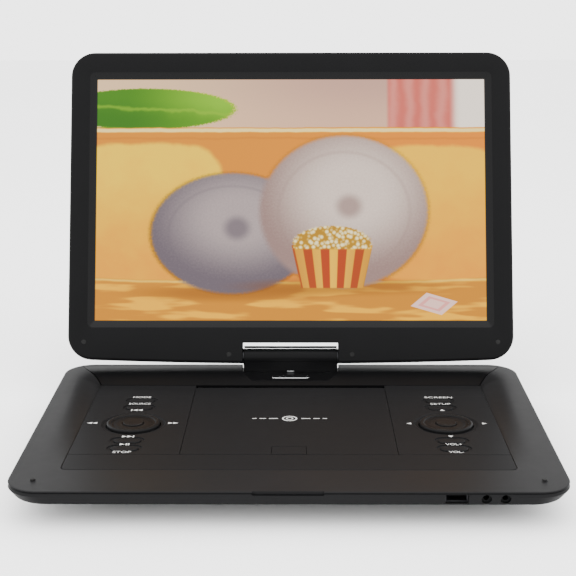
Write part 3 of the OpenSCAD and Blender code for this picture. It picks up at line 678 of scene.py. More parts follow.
def cut(mesh, tools, sharp):
    """The mesh with the closed tools taken away from it."""
    body = bpy.data.objects.new("draft_body", mesh)
    others = [bpy.data.objects.new("draft_tool", tool) for tool in tools]
    for item in (body, *others):
        bpy.context.scene.collection.objects.link(item)
    for other in others:
        step = body.modifiers.new("cut", "BOOLEAN")
        step.operation, step.solver, step.object = "DIFFERENCE", "EXACT", other
    bpy.context.view_layer.update()
    made = bpy.data.meshes.new_from_object(body.evaluated_get(bpy.context.evaluated_depsgraph_get()))
    name = mesh.name
    for item in (body, *others):
        bpy.data.objects.remove(item)
    for old in (mesh, *tools):
        bpy.data.meshes.remove(old)
    made.name = name
    shade(made, sharp)
    return made


def build_upper_shell(material):
    """The base's upper shell: rings that climb the wall, cross the rim and the top and end in the opening.

    Each ring point mixes the outline with the opening's edge: outline + share * (edge - outline).
    The recess at the front and the hinge pocket are stretches of the ring that lie lower. The
    lowest ring is drawn in, less so at the rear, to meet the lower shell.
    """
    n_arc, hw, front, rear = 16, BASE_W / 2, -BASE_D / 2, BASE_D / 2
    pocket = math.sqrt(POCKET_R**2 - (rear - SWIVEL_Y) ** 2)
    recess = RECESS_HW
    rear_y = DECK_FRONT + DECK_L * math.cos(DECK_TILT) + 0.1
    trim_x, trim_y = 160.2, rear - 4.2
    gap, hole_r = SEAM, DECK_R
    arc = np.linspace(0.0, np.pi / 2, n_arc + 1)
    hole_rear = np.array([DECK_HW + gap, rear_y])

    def half(inset, radius):
        """Right half of the loop, rear middle to front middle, as outline and opening points."""
        r = radius or CORNER_R - inset
        cx, cy = hw - inset - r, rear - inset - r
        outer, inner, zone = [], [], []

        def run(o0, o1, i0, i1, count, mark):
            """A straight stretch of outline and opening between two pairs of ends."""
            share = np.linspace(0.0, 1.0, count)[:, None]
            outer.append(np.array(o0) + (np.array(o1) - np.array(o0)) * share)
            inner.append(np.array(i0) + (np.array(i1) - np.array(i0)) * share)
            zone.append(np.full(count, mark))

        top, side, low = rear - inset, hw - inset, front + inset
        run((0, top), (pocket, top), (0, trim_y), (pocket, trim_y), 10, 1)
        run((pocket + 0.02, top), (cx, top), (pocket + 0.02, trim_y), (trim_x - 6, trim_y), 12, 0)
        rear_arc = np.stack([cx + r * np.sin(arc), cy + r * np.cos(arc)], -1)[1:]
        share = np.linspace(0.0, 1.0, n_arc + 1)[1:, None]
        corner = np.array([trim_x, trim_y])
        mid = n_arc // 3
        start = np.array([trim_x - 6, trim_y])
        approach = start + (corner - start) * np.clip(share * n_arc / mid, 0, 1)
        leave = (hole_rear - corner) * np.clip((share * n_arc - mid) / (2.2 * n_arc), 0, 1)
        outer.append(rear_arc)
        inner.append(approach + leave)
        zone.append(np.zeros(n_arc))
        last = (approach + leave)[-1]
        run((side, cy - 1), (side, rear_y - 4), last + (hole_rear - last) * 0.06, hole_rear, 10, 0)
        hole_side, hole_front = DECK_HW + gap, DECK_FRONT - gap
        run((side, rear_y - 6), (side, -cy), (hole_side, rear_y - 2), (hole_side, hole_front + hole_r), 30, 0)
        front_arc = np.stack([cx + r * np.cos(arc), -cy - r * np.sin(arc)], -1)[1:]
        hole_x, hole_y = hole_side - hole_r + hole_r * np.cos(arc), hole_front + hole_r - hole_r * np.sin(arc)
        hole = np.stack([hole_x, hole_y], -1)[1:]
        outer.append(front_arc)
        inner.append(hole)
        zone.append(np.zeros(n_arc))
        edge = DECK_FRONT - gap
        run((cx - 1, low), (recess + 0.02, low), (DECK_HW - hole_r - 1, edge), (recess + 0.02, edge), 12, 0)
        run((recess, low), (0, low), (recess, edge), (0, edge), 8, 2)
        return np.concatenate(outer), np.concatenate(inner), np.concatenate(zone)

    def loop(inset, radius=None):
        """The whole loop; with a radius of its own it is stretched back, so its rear is drawn in less."""
        outer, inner, zone = half(inset, radius)
        if radius:
            low = front + inset
            stretch = (BASE_D - inset * (1 + REAR_SHARE)) / (BASE_D - 2 * inset)
            outer[:, 1] = low + (outer[:, 1] - low) * stretch
        flip = np.array([-1.0, 1.0])
        return (
            np.concatenate([outer, outer[-2:0:-1] * flip]),
            np.concatenate([inner, inner[-2:0:-1] * flip]),
            np.concatenate([zone, zone[-2:0:-1]]),
        )

    rings = []
    # how far in and how far below the rim: wall foot, straight wall, groove, rounding
    wall = [(TUCK, RIM_Z - SPLIT_Z - 0.1), (0.0, RIM_H), (0.05, 2.9), (0.5, 1.45)]
    wall += [(1.1, 1.3), (1.1, 0.85), (0.15, 0.7), (0.12, 0.35), (0.3, 0.1), (0.65, 0.0)]
    for inset, depth in wall:
        z = RIM_Z - depth
        outer, inner, zone = loop(inset, TUCK_R if depth > RIM_H else None)
        recess_z = RIM_Z - RECESS_DEPTH - 0.02 * (depth > 1.4)
        level = np.where(zone == 2, np.minimum(z, recess_z), z)
        level = np.where(zone == 1, np.minimum(z, POCKET_Z), level)
        rings.append(np.concatenate([outer, level[:, None]], 1))
    for inset, low_front in ((1.48, True), (1.52, False)):
        points, _, _ = loop(inset)
        z = RIM_Z - surface_depth(points[:, 0], points[:, 1])
        z = np.where(zone == 1, POCKET_Z, z)
        if low_front:
            z = np.where(zone == 2, RIM_Z - RECESS_DEPTH, z)
        rings.append(np.concatenate([points, z[:, None]], 1))
    start, inner, zone = loop(1.52)
    for share in np.linspace(0.0, 1.0, 15)[1:] ** 0.8:
        points = start + (inner - start) * share
        z = RIM_Z - surface_depth(points[:, 0], points[:, 1])
        z = np.where(zone == 1, POCKET_Z, z)
        rings.append(np.concatenate([points, z[:, None]], 1))
    reach = np.linalg.norm(inner - start, axis=1)[:, None]
    rings[-1][:, :2] = inner - (inner - start) / reach * 0.45
    edge = np.concatenate([inner, rings[-1][:, 2:] - 0.35], 1)
    rings.append(edge)
    low = edge.copy()
    low[:, 2] -= 1.4
    rings.append(low)
    outer, inner, zone = loop(TUCK + 4.0, TUCK_R)
    rings.append(np.concatenate([outer, np.full((len(outer), 1), SPLIT_Z + 0.1)], 1))
    shape = Shape()
    shape.rings(rings, wrap=True)
    mesh = cut(shape.mesh("base_top_shell", BASE, 28.0), port_tools(), 28.0)
    return add_piece(mesh, "base", material, ("base_upper_shell",))


def build_rear_trim(material):
    """The smooth panel behind the deck, and the floor of the pocket that the hinge turns in.

    The panel is a sheet over x and y: y runs from the deck's end or the mitre line to the rear edge
    or the pocket's circle, and z follows surface_depth.
    """
    front = DECK_FRONT + DECK_L * math.cos(DECK_TILT) + 0.25
    rear, tip = BASE_D / 2 - 4.35, 159.9
    r = POCKET_R + 0.1
    mitre = DECK_HW - 0.6
    pocket = r * np.sin(np.linspace(0.0, np.pi / 2, 15))
    right = np.concatenate([pocket, [r + 0.03], np.linspace(r + 4, 139, 16), np.linspace(mitre, tip, 12)])
    x = np.concatenate([-right[:0:-1], right])
    size = np.abs(x)
    near = front + np.clip((size - mitre) / (tip - mitre), 0.0, None) * (rear - front - 0.4)
    far = np.where(size <= r + 0.01, SWIVEL_Y - np.sqrt(np.clip(r * r - size * size, 0.0, None)), rear)
    far = np.maximum(far, near + 0.1)
    share = np.linspace(0.0, 1.0, 17)[:, None]
    y = near + (far - near) * share
    grid_x = np.repeat(x[None], 17, 0)
    z = RIM_Z - surface_depth(grid_x, y)
    shape = Shape()
    shape.slab(np.stack([grid_x, y, z], -1), 1.9)
    add_piece(shape.mesh("rear_panel", BASE, 28.0), "base", material, ("rear_trim",), 0.15)

    angle = np.linspace(-math.radians(92.9), math.radians(92.9), 61)[None]
    reach = np.minimum(POCKET_R + 0.08, (SWIVEL_Y - front - 0.12) / np.clip(np.cos(angle), 0.01, None))
    share = np.linspace(0.05, 1.0, 14)[:, None]
    fx, fy = share * reach * np.sin(angle), SWIVEL_Y - share * reach * np.cos(angle)
    fz = np.minimum(POCKET_Z, RIM_Z - surface_depth(fx, fy))
    floor = Shape()
    floor.slab(np.stack([fx, fy, fz], -1), 1.0)
    add_piece(floor.mesh("hinge_pocket_floor", BASE, 28.0), "base", material)


def lid_loop(inset, notch_z=NOTCH_Z):
    """The lid's outline as x and z, from the notch's right foot round to its left foot and over the notch.

    The bottom edge bows down as a parabola, the corners are quarter circles, and an inset draws
    every side in.
    """
    g = inset
    h = min(g, 0.5)
    hw, r, top, low = LID_HW - g, LID_CORNER - g, LID_TOP - g, -LID_DROP + LID_BOW + g
    foot = NOTCH_HW + h
    u = np.linspace(foot / (hw - r), 1.0, 16)
    bottom = np.stack([u * (hw - r), low - LID_BOW * (1 - u * u)], -1)
    t = np.linspace(0.0, np.pi / 2, 17)
    turn = [
        np.stack([hw - r + r * np.sin(t), low + r - r * np.cos(t)], -1)[1:],
        np.stack([hw - r + r * np.cos(t), top - r + r * np.sin(t)], -1),
        np.stack([r - hw - r * np.sin(t), top - r + r * np.cos(t)], -1),
        np.stack([r - hw - r * np.cos(t), low + r - r * np.sin(t)], -1)[:-1],
    ]
    over = notch_z + h
    notch = np.array([[-foot, over], [foot, over]])
    return np.concatenate([bottom, *turn, bottom[::-1] * [-1.0, 1.0], notch])


def window_loop(half_width, low, high, radius):
    """A rectangle with round corners that has one point for each point of lid_loop."""
    hw, r = half_width, radius
    t = np.linspace(0.0, np.pi / 2, 17)
    x = np.linspace(NOTCH_HW + 4, hw - r, 16)
    bottom = np.stack([x, np.full(16, float(low))], -1)
    turn = [
        np.stack([hw - r + r * np.sin(t), low + r - r * np.cos(t)], -1)[1:],
        np.stack([hw - r + r * np.cos(t), high - r + r * np.sin(t)], -1),
        np.stack([r - hw - r * np.sin(t), high - r + r * np.cos(t)], -1),
        np.stack([r - hw - r * np.cos(t), low + r - r * np.sin(t)], -1)[:-1],
    ]
    notch = np.array([[-NOTCH_HW, low], [NOTCH_HW, low]])
    return np.concatenate([bottom, *turn, bottom[::-1] * [-1.0, 1.0], notch])


def standing(loop, y):
    """A loop of x and z at one depth."""
    return np.stack([loop[:, 0], np.full(len(loop), float(y)), loop[:, 1]], -1)


def build_lid(bezel_material, bevel_material, back_material):
    """The lid's two halves: rings of the outline for the wall, then, on the front, rings of the window."""
    low, high = PICTURE_Z, PICTURE_Z + PICTURE_H
    rings = [standing(lid_loop(0.0), -2.05), standing(lid_loop(0.0), -LID_HALF + 2.4)]
    for inset, rise in quarter_round(2.3, 7)[1:]:
        rings.append(standing(lid_loop(inset), -LID_HALF + 2.4 - rise))
    front = -LID_HALF + 0.1
    w = BEVEL_W
    rings.append(standing(window_loop(PICTURE_HW + w + 0.4, low - w - 0.4, high + w + 0.4, 4.4), front))
    rings.append(standing(window_loop(PICTURE_HW + w, low - w, high + w, 4.0), front + 0.15))
    rings.append(standing(window_loop(PICTURE_HW + 0.3, low - 0.3, high + 0.3, 0.9), -4.5))
    rings.append(standing(window_loop(PICTURE_HW, low, high, 0.6), -4.3))
    rings.append(standing(window_loop(PICTURE_HW, low, high, 0.6), -4.15))
    rings.append(standing(window_loop(PICTURE_HW + 5.5, low - 5.5, high + 5.5, 4.0), -4.15))
    rings.append(standing(lid_loop(2.6), -4.0))
    rings.append(standing(lid_loop(2.0), -2.05))
    shape = Shape()
    shape.rings(rings, wrap=True)
    mesh = shape.mesh("screen_bezel", LID, 24.0)
    add_piece(mesh, "lid", bezel_material, ("lid_bezel",))
    # the slope round the window takes the glossier finish
    mesh.materials.append(bevel_material)
    middle = np.zeros(len(mesh.polygons) * 3)
    mesh.polygons.foreach_get("center", middle)
    away = LID.inverted()
    middle = middle.reshape(-1, 3) @ np.array(away.to_3x3()).T + np.array(away.translation)
    x, y, z = middle.T
    sloped = (y > front + 0.2) & (y < -4.35) & (np.abs(x) < PICTURE_HW + w) & (z > low - w) & (z < high + w)
    mesh.polygons.foreach_set("material_index", sloped.astype(np.int32))

    outline = lid_loop(0.0, BACK_NOTCH_Z)
    rings = [standing(outline, -1.9), standing(outline, LID_HALF - 2.5)]
    for inset, rise in quarter_round(2.5, 7)[1:]:
        rings.append(standing(lid_loop(inset, BACK_NOTCH_Z), LID_HALF - 2.5 + rise))
    back = Shape()
    back.rings(rings)
    add_piece(back.mesh("lid_back", LID, 24.0), "lid", back_material, ("lid_back_cover",))


def build_screen(material):
    """The picture panel: a flat grid with picture coordinates, u across its width and v up its height."""
    across = np.linspace(-153.2, 153.2, 25)
    up = np.linspace(PICTURE_Z - 2.8, PICTURE_Z + PICTURE_H + 2.8, 17)
    x, z = np.meshgrid(across, up)
    front = np.stack([x, np.full_like(x, -4.1), z], -1)
    back = front + [0.0, 1.3, 0.0]
    shape = Shape()
    rows, columns = x.shape
    faces = grid_faces(rows, columns)
    index = np.arange(rows * columns).reshape(rows, columns)
    border = np.concatenate([index[0], index[1:, -1], index[-1, -2::-1], index[-2:0:-1, 0]])
    after = np.roll(border, -1)
    count = rows * columns
    sides = np.stack([border, after, after + count, border + count], -1)
    points = np.concatenate([front.reshape(-1, 3), back.reshape(-1, 3)])
    shape.add(points, np.concatenate([faces, faces[:, ::-1] + count, sides]).tolist())
    mesh = shape.mesh("picture_panel", LID)
    local = LID.inverted()
    layer = mesh.uv_layers.new(name="picture")
    co = np.zeros(len(mesh.vertices) * 3)
    mesh.vertices.foreach_get("co", co)
    co = co.reshape(-1, 3) @ np.array(local.to_3x3()).T + np.array(local.translation)
    corner = np.zeros(len(mesh.loops), int)
    mesh.loops.foreach_get("vertex_index", corner)
    u, v = (co[:, 0] + PICTURE_HW) / (2 * PICTURE_HW), (co[:, 2] - PICTURE_Z) / PICTURE_H
    uv = np.stack([u, v], -1)[corner]
    layer.data.foreach_set("uv", uv.ravel())
    return add_piece(mesh, "lid", material, ("lcd_panel",))


def add_key(shape, node, material):
    """Links a key's cap, which rides with the node that it stands for."""
    mesh = shape.mesh(node + "_cap", DECK, 40.0)
    return add_piece(mesh, frame["nodes"][node]["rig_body"], material, (node,))


def build_ring(side, node, material):
    """A four-way ring: a profile turned about the pad's middle, with a raised band, a plateau and a skirt."""
    inner = CENTRE_R + 0.4
    turn = np.linspace(-0.2, math.pi * 0.95, 14)
    band = [(RING_R - 1.75 + 1.75 * math.cos(t), 0.15 + 1.15 * math.sin(t)) for t in turn]
    profile = [(inner, -3.4), (RING_R + 1.3, -4.1), (RING_R + 1.3, -3.6), (RING_R, -3.2), *band]
    profile += [(RING_R - 4.2, 0.32), (RING_R - 5.0, 0.25), (RING_R - 5.4, 0.42)]
    profile += [(inner + 0.5, 0.42), (inner + 0.12, 0.32), (inner, 0.05)]
    shape = Shape()
    shape.rings(lathe(profile, 112, (side * PAD_X, PAD_Y)), wrap=True)
    return add_key(shape, node, material)


def build_centre_key(side, node, material):
    """A round key: a post, a rounded edge and a dished top, z = edge - d(1 - (r/R) squared)."""
    r = CENTRE_R
    edge = [(r - inset, 0.45 + rise) for inset, rise in quarter_round(0.5, 6)]
    bowl = [(r * k, 0.95 - 0.35 * (1 - (k / 0.93) ** 2)) for k in np.linspace(0.9, 0.04, 10)]
    shape = Shape()
    shape.rings(lathe([(1.5, -4.4), (1.5, -3.0), (r, -3.0), *edge, *bowl], 80, (side * PAD_X, PAD_Y)))
    return add_key(shape, node, material)


def build_pill(side, step, node, material):
    """A pill key: rings of the pill's outline drawn in by a rounded edge, up to a slightly crowned top."""
    flange = stadium(20, 10.4)
    rings = [at_height(flange, -3.4), at_height(flange, -2.6), at_height(stadium(18, 8.4), -2.5)]
    for inset, rise in quarter_round(0.7, 6):
        rings.append(at_height(stadium(18 - 2 * inset, 8.4 - 2 * inset), -0.62 + rise))
    for inset, z in ((1.6, 0.17), (2.8, 0.24), (3.9, 0.27)):
        rings.append(at_height(stadium(18 - 2 * inset, 8.4 - 2 * inset), z))
    rings = np.array(rings) + np.array([side * PAD_X, PAD_Y + step, 0.0])
    shape = Shape()
    shape.rings(rings)
    return add_key(shape, node, material)


def build_words(name, words, x, y, width, height, material):
    """A printed word, made from the built-in typeface, fitted to a width and height and laid on the deck."""
    curve = bpy.data.curves.new(name, "FONT")
    curve.body = words
    curve.align_x = "CENTER"
    curve.extrude = 0.004
    text = bpy.data.objects.new(name + "_draft", curve)
    bpy.context.scene.collection.objects.link(text)
    bpy.context.view_layer.update()
    mesh = bpy.data.meshes.new_from_object(text.evaluated_get(bpy.context.evaluated_depsgraph_get()))
    bpy.data.objects.remove(text)
    mesh.name = name
    co = np.zeros(len(mesh.vertices) * 3)
    mesh.vertices.foreach_get("co", co)
    co = co.reshape(-1, 3)
    low, high = co.min(0), co.max(0)
    co = (co - (low + high) / 2) / (high - low) * [width, height, 0.05] + [x, y - 34.0, 0.025]
    mesh.vertices.foreach_set("co", co.ravel())
    mesh.transform(DECK)
    return add_piece(mesh, "base", material)


def build_signs(name, signs, material, body="base"):
    """Printed triangles and bars. Each sign is a kind, a middle, a width and a height."""
    outlines = {
        ">": [(-0.5, -0.5), (0.5, 0.0), (-0.5, 0.5)],
        "<": [(0.5, 0.5), (-0.5, 0.0), (0.5, -0.5)],
        "^": [(-0.5, -0.5), (0.5, -0.5), (0.0, 0.5)],
        "v": [(-0.5, 0.5), (0.0, -0.5), (0.5, 0.5)],
        "|": [(-0.5, -0.5), (0.5, -0.5), (0.5, 0.5), (-0.5, 0.5)],
    }
    shape = Shape()
    for kind, x, y, width, height in signs:
        flat = np.array(outlines[kind]) * [width, height] + [x, y - 34.0]
        shape.rings([at_height(flat, 0.0), at_height(flat, 0.05)])
    return add_piece(shape.mesh(name, DECK), body, material)


def build_ornament(material):
    """A plain mark on the disc door: a ring between two rows of shortening bars."""
    shape = Shape()
    for near, far in ((4.2, 5.2), (1.7, 2.5)):
        shape.rings(lathe([(near, 0.0), (far, 0.0), (far, 0.06), (near, 0.06)], 72, (0.0, 96.0)), wrap=True)
    x = 8.0
    for length in (6.4, 4.6, 3.0):
        for side in (-1, 1):
            outline = stadium(length, 1.0, 10) + [side * (x + length / 2), 96.0]
            shape.rings([at_height(outline, 0.0), at_height(outline, 0.06)])
        x += length + 1.9
    return add_piece(shape.mesh("door_mark", DECK), "door", material)


# ---- add-on


class PlayerSizes(bpy.types.PropertyGroup):
    """Sizes that a user would change."""

    edge_round: FloatProperty(
        name="Edge rounding", description="Rounding of small moulded edges",
        default=0.25, min=0.05, max=0.5,
    )
    floor_size: FloatProperty(name="Floor size", description="Side of the floor", default=6.0, unit="LENGTH")
    light_power: FloatProperty(name="Light power", description="Power of the overhead light", default=10.0)
    sky_level: FloatProperty(
        name="Surround level", description="Brightness of the pale surround",
        default=3.6,
    )


class PlayerColours(bpy.types.PropertyGroup):
    """Colours that a user would change."""

    shell: FloatVectorProperty(
        name="Shell", description="Shell plastic", subtype="COLOR", size=3,
        default=(0.0065, 0.0065, 0.0068),
    )
    deck: FloatVectorProperty(
        name="Deck", description="Deck plastic", subtype="COLOR", size=3,
        default=(0.0065, 0.0065, 0.0068),
    )
    bezel: FloatVectorProperty(
        name="Bezel", description="Screen surround", subtype="COLOR", size=3,
        default=(0.004, 0.004, 0.0042),
    )
    key: FloatVectorProperty(
        name="Keys", description="Key plastic", subtype="COLOR", size=3,
        default=(0.005, 0.005, 0.0052),
    )
    ink: FloatVectorProperty(
        name="Ink", description="Printed legends", subtype="COLOR", size=3,
        default=(0.42, 0.42, 0.41),
    )
    floor: FloatVectorProperty(
        name="Floor", description="Floor", subtype="COLOR", size=3,
        default=(0.92, 0.92, 0.92),
    )


FINISHES = {}


def make_finishes(colours):
    """Makes every material once."""

    def pair(colour, gain=1.35):
        colour = tuple(colour)
        return colour, tuple(c * gain for c in colour)

    FINISHES.update(
        shell=moulded("satin_black_shell", *pair(colours.shell), 0.42),
        deck=lined("lined_deck", *pair(colours.deck), 0.45),
        bezel=moulded("satin_bezel", *pair(colours.bezel), 0.36, 0.008, 0.03),
        bevel=moulded("gloss_bevel", (0.002, 0.002, 0.0022), (0.003, 0.003, 0.0032), 0.16, 0.002, 0.09),
        key=moulded("key_plastic", *pair(colours.key), 0.38, 0.006, 0.03),
        trim=moulded("satin_trim", (0.002, 0.002, 0.0022), (0.003, 0.003, 0.0032), 0.34, 0.004, 0.03),
        chrome=metal("bright_chrome", (0.9, 0.91, 0.92), 0.05, 20.0, 0.001),
        steel=metal("drawn_steel", (0.55, 0.56, 0.57), 0.28, 60.0),
        # dark steel: its colour is painted shade, darkened so that the hinge arms in their gap and the USB
        # socket under the front rim look shaded
        dark_steel=metal("steel_darkened_as_painted_shade", (0.06, 0.06, 0.065), 0.4, 60.0),
        brass=threaded("threaded_brass", (0.75, 0.6, 0.3)),
        rubber=soft("matt_rubber", (0.003, 0.003, 0.003), (0.007, 0.007, 0.007), 0.05),
        silicone=soft("grey_silicone", (0.10, 0.10, 0.105), (0.15, 0.15, 0.155), 0.03),
        board=circuit("green_board", (0.01, 0.09, 0.035), (0.03, 0.2, 0.07)),
        battery=sleeve("blue_sleeve", (0.01, 0.03, 0.12)),
        cone=paper("speaker_parts", (0.02, 0.02, 0.022), (0.05, 0.05, 0.053)),
        white=diffuser("white_diffuser"),
        ink=paint("legend_ink", tuple(colours.ink)),
        picture=picture("lit_picture"),
        floor=floor_paint("pale_floor", tuple(colours.floor)),
    )


class PLAYER_OT_finishes(bpy.types.Operator):
    """Make the materials"""

    bl_idname = "player.finishes"
    bl_label = "Finishes"

    def execute(self, context):
        make_finishes(context.scene.player_colours)
        return {"FINISHED"}


class PLAYER_OT_base(bpy.types.Operator):
    """Build the base's shells, trims, feet and ports"""

    bl_idname = "player.base"
    bl_label = "Base"

    def execute(self, context):
        edge = context.scene.player_sizes.edge_round
        build_upper_shell(FINISHES["shell"])
        build_rear_trim(FINISHES["trim"])
        finished_copy("base_lower_shell", FINISHES["shell"], 0.0, 40.0)
        finished_copy("rear_ornament", FINISHES["chrome"], 0.2)
        finished_copy("front_strip", FINISHES["deck"], edge * 1.6)
        for side in ("left", "right"):
            finished_copy(side + "_keypad_panel", FINISHES["deck"], edge)
        for node in ("battery_cover", "power_switch", "dc_jack", "av_jack", "headphone_jack"):
            finished_copy(node, FINISHES["shell"], 0.2)
        for node in ("rubber_feet", "rim_bumpers"):
            finished_copy(node, FINISHES["rubber"], 0.4)
        # the USB socket takes the steel darkened as painted shade for the shaded band under the front rim
        finished_copy("usb_socket", FINISHES["dark_steel"], 0.08)
        finished_copy("case_screws", FINISHES["steel"], 0.08)
        return {"FINISHED"}


class PLAYER_OT_loader(bpy.types.Operator):
    """Build the disc door, its latch and the loader under it"""

    bl_idname = "player.loader"
    bl_label = "Disc loader"

    def execute(self, context):
        edge = context.scene.player_sizes.edge_round
        finished_copy("disc_door", FINISHES["deck"], edge * 1.6)
        finished_copy("latch_button", FINISHES["deck"], edge)
        build_ornament(FINISHES["ink"])
        finished_copy("disc_well", FINISHES["shell"], 0.2)
        finished_copy("spindle_hub", FINISHES["key"], 0.3)
        finished_copy("pickup_sled", FINISHES["key"], 0.2)
        finished_copy("lead_screw", FINISHES["brass"], 0.1)
        for node in ("loader_chassis", "guide_rods", "spindle_motor", "sled_motor", "latch_hook"):
            finished_copy(node, FINISHES["steel"], 0.12)
        return {"FINISHED"}


class PLAYER_OT_keys(bpy.types.Operator):
    """Build the rings, round keys and pill keys"""

    bl_idname = "player.keys"
    bl_label = "Keys"

    def execute(self, context):
        for side, name in ((-1, "skip"), (1, "menu")):
            build_ring(side, name + "_ring", FINISHES["key"])
            build_centre_key(side, name + "_centre_button", FINISHES["key"])
        steps = (50.0, 34.5, -33.0, -47.5)
        left, right = ("mode", "source", "play", "stop"), ("screen", "setup", "volume_up", "volume_down")
        for side, names in ((-1, left), (1, right)):
            for step, name in zip(steps, names):
                build_pill(side, step, name + "_button", FINISHES["deck"])
        return {"FINISHED"}


class PLAYER_OT_legends(bpy.types.Operator):
    """Print the words and signs beside the keys"""

    bl_idname = "player.legends"
    bl_label = "Legends"

    def execute(self, context):
        ink = FINISHES["ink"]
        cap = 3.4
        for words, x, y, width in (
            ("MODE", -107.4, 176.6, 13.0),
            ("SOURCE", -107.4, 161.8, 15.6),
            ("STOP", -107.4, 64.6, 11.8),
            ("SCREEN", 107.4, 176.6, 20.0),
            ("SETUP", 107.4, 161.8, 14.3),
            ("VOL+", 107.4, 79.3, 10.8),
            ("VOL-", 107.4, 65.2, 9.6),
        ):
            name = "legend_" + words.replace("+", "_up").replace("-", "_down").lower()
            build_words(name, words, x, y, width, cap, ink)
        tri, bar = 3.4, 0.9
        signs = [
            ("|", -111.4, 147.7, bar, cap), ("<", -109.0, 147.7, tri, cap), ("<", -105.5, 147.7, tri, cap),
            (">", -109.4, 93.5, tri, cap), (">", -105.9, 93.5, tri, cap), ("|", -103.5, 93.5, bar, cap),
            (">", -108.9, 78.7, tri, cap), ("|", -106.3, 78.7, bar, cap), ("|", -104.8, 78.7, bar, cap),
            ("<", -136.9, 120.4, tri, cap), ("<", -133.4, 120.4, tri, cap),
            (">", -81.3, 120.4, tri, cap), (">", -77.8, 120.4, tri, cap),
            ("^", 107.2, 148.2, 3.4, 3.0), ("v", 107.2, 94.1, 3.4, 3.0),
            ("<", 81.4, 120.0, 3.2, 3.2), (">", 133.1, 120.0, 3.2, 3.2),
        ]
        build_signs("legend_signs", signs, ink)
        return {"FINISHED"}


class PLAYER_OT_lid(bpy.types.Operator):
    """Build the lid's two halves, the picture panel and the parts on them"""

    bl_idname = "player.lid"
    bl_label = "Lid"

    def execute(self, context):
        build_lid(FINISHES["bezel"], FINISHES["bevel"], FINISHES["shell"])
        build_screen(FINISHES["picture"])
        finished_copy("chrome_strip", FINISHES["chrome"], 0.3)
        finished_copy("screw_plugs", FINISHES["rubber"], 0.25)
        return {"FINISHED"}


class PLAYER_OT_hinge(bpy.types.Operator):
    """Finish the hinge barrel and the metal parts in it"""

    bl_idname = "player.hinge"
    bl_label = "Hinge"

    def execute(self, context):
        finished_copy("barrel_cover", FINISHES["bezel"], 0.4)
        # the hinge arms take the steel darkened as painted shade for the gap they sit in
        finished_copy("hinge_arms", FINISHES["dark_steel"], 0.1)
        for node in ("hinge_frame", "swivel_shaft", "swivel_bracket", "retaining_ring"):
            finished_copy(node, FINISHES["steel"], 0.1)
        return {"FINISHED"}


class PLAYER_OT_inside(bpy.types.Operator):
    """Give the parts inside their materials"""

    bl_idname = "player.inside"
    bl_label = "Inside parts"

    def execute(self, context):
        for node, finish in (
            ("loader_dampers", "rubber"), ("main_board", "board"), ("key_boards", "board"),
            ("driver_board", "board"), ("battery_pack", "battery"), ("speakers", "cone"),
            ("backlight", "white"), ("lcd_brackets", "steel"), ("skip_web", "silicone"),
            ("menu_web", "silicone"),
        ):
            dress(node, FINISHES[finish])
        return {"FINISHED"}


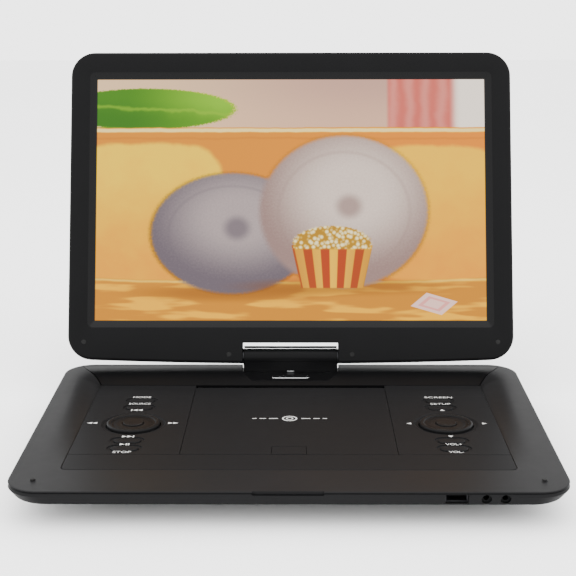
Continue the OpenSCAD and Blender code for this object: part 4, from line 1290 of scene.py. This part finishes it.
class PLAYER_OT_stage(bpy.types.Operator):
    """Set up the floor, the soft lights and the camera"""

    bl_idname = "player.stage"
    bl_label = "Stage"

    def execute(self, context):
        sizes = context.scene.player_sizes
        scene = context.scene
        half = sizes.floor_size / 2
        mesh = bpy.data.meshes.new("floor")
        corners = [(-half, -half, 0), (half, -half, 0), (half, half, 0), (-half, half, 0)]
        mesh.from_pydata(corners, [], [(0, 1, 2, 3)])
        mesh.materials.append(FINISHES["floor"])
        floor = bpy.data.objects.new("floor", mesh)
        scene.collection.objects.link(floor)

        world = bpy.data.worlds.new("pale_surround")
        world.use_nodes = True
        world.node_tree.nodes["Background"].inputs["Color"].default_value = (1.0, 1.0, 1.0, 1.0)
        world.node_tree.nodes["Background"].inputs["Strength"].default_value = sizes.sky_level
        scene.world = world

        for name, place, aim, width, depth, power in (
            ("top_light", (0.0, -0.1, 1.3), (0.0, 0.0, 0.0), 1.6, 1.2, sizes.light_power),
            ("left_light", (-1.3, -0.5, 0.7), (0.0, 0.0, 0.1), 0.7, 1.0, sizes.light_power * 0.5),
            ("right_light", (1.3, -0.5, 0.7), (0.0, 0.0, 0.1), 0.7, 1.0, sizes.light_power * 0.5),
        ):
            lamp = bpy.data.lights.new(name, "AREA")
            lamp.shape = "RECTANGLE"
            lamp.size, lamp.size_y, lamp.energy = width, depth, power
            light = bpy.data.objects.new(name, lamp)
            scene.collection.objects.link(light)
            light.location = place
            towards = Matrix.Translation(place).inverted() @ Matrix.Translation(aim)
            light.rotation_mode = "QUATERNION"
            light.rotation_quaternion = towards.translation.to_track_quat("-Z", "Y")

        camera = bpy.data.cameras.new("camera")
        camera.lens = 80.706
        camera.sensor_width = 36.0
        camera.clip_start, camera.clip_end = 0.05, 20.0
        eye = bpy.data.objects.new("camera", camera)
        scene.collection.objects.link(eye)
        heading = Matrix.Rotation(math.radians(0.484), 4, "Z")
        pitch = Matrix.Rotation(math.radians(90.0 - 15.03), 4, "X")
        roll = Matrix.Rotation(math.radians(-0.127), 4, "Z")
        turn = heading @ pitch @ roll
        eye.matrix_world = Matrix.Translation((0.00614, SHELL_LOW.y - 0.70828, SHELL_HIGH.z + 0.31569)) @ turn
        scene.camera = eye
        return {"FINISHED"}


class PLAYER_PT_panel(bpy.types.Panel):
    """Lists the steps and the values they use"""

    bl_idname = "PLAYER_PT_panel"
    bl_label = "Disc player"
    bl_space_type = "VIEW_3D"
    bl_region_type = "UI"
    bl_category = "Player"

    def draw(self, context):
        column = self.layout.column(align=True)
        for step in STEPS:
            column.operator(step.bl_idname)
        for group in (context.scene.player_sizes, context.scene.player_colours):
            for key in group.bl_rna.properties.keys():
                if key not in ("rna_type", "name"):
                    column.prop(group, key)


STEPS = (
    PLAYER_OT_finishes,
    PLAYER_OT_base,
    PLAYER_OT_loader,
    PLAYER_OT_keys,
    PLAYER_OT_legends,
    PLAYER_OT_lid,
    PLAYER_OT_hinge,
    PLAYER_OT_inside,
    PLAYER_OT_stage,
)
CLASSES = (PlayerSizes, PlayerColours, *STEPS, PLAYER_PT_panel)


def register():
    for item in CLASSES:
        bpy.utils.register_class(item)
    bpy.types.Scene.player_sizes = PointerProperty(type=PlayerSizes)
    bpy.types.Scene.player_colours = PointerProperty(type=PlayerColours)


def unregister():
    del bpy.types.Scene.player_colours
    del bpy.types.Scene.player_sizes
    for item in reversed(CLASSES):
        bpy.utils.unregister_class(item)


def main():
    register()
    bpy.ops.player.finishes()
    bpy.ops.player.base()
    bpy.ops.player.loader()
    bpy.ops.player.keys()
    bpy.ops.player.legends()
    bpy.ops.player.lid()
    bpy.ops.player.hinge()
    bpy.ops.player.inside()
    bpy.ops.player.stage()


if __name__ == "__main__":
    main()
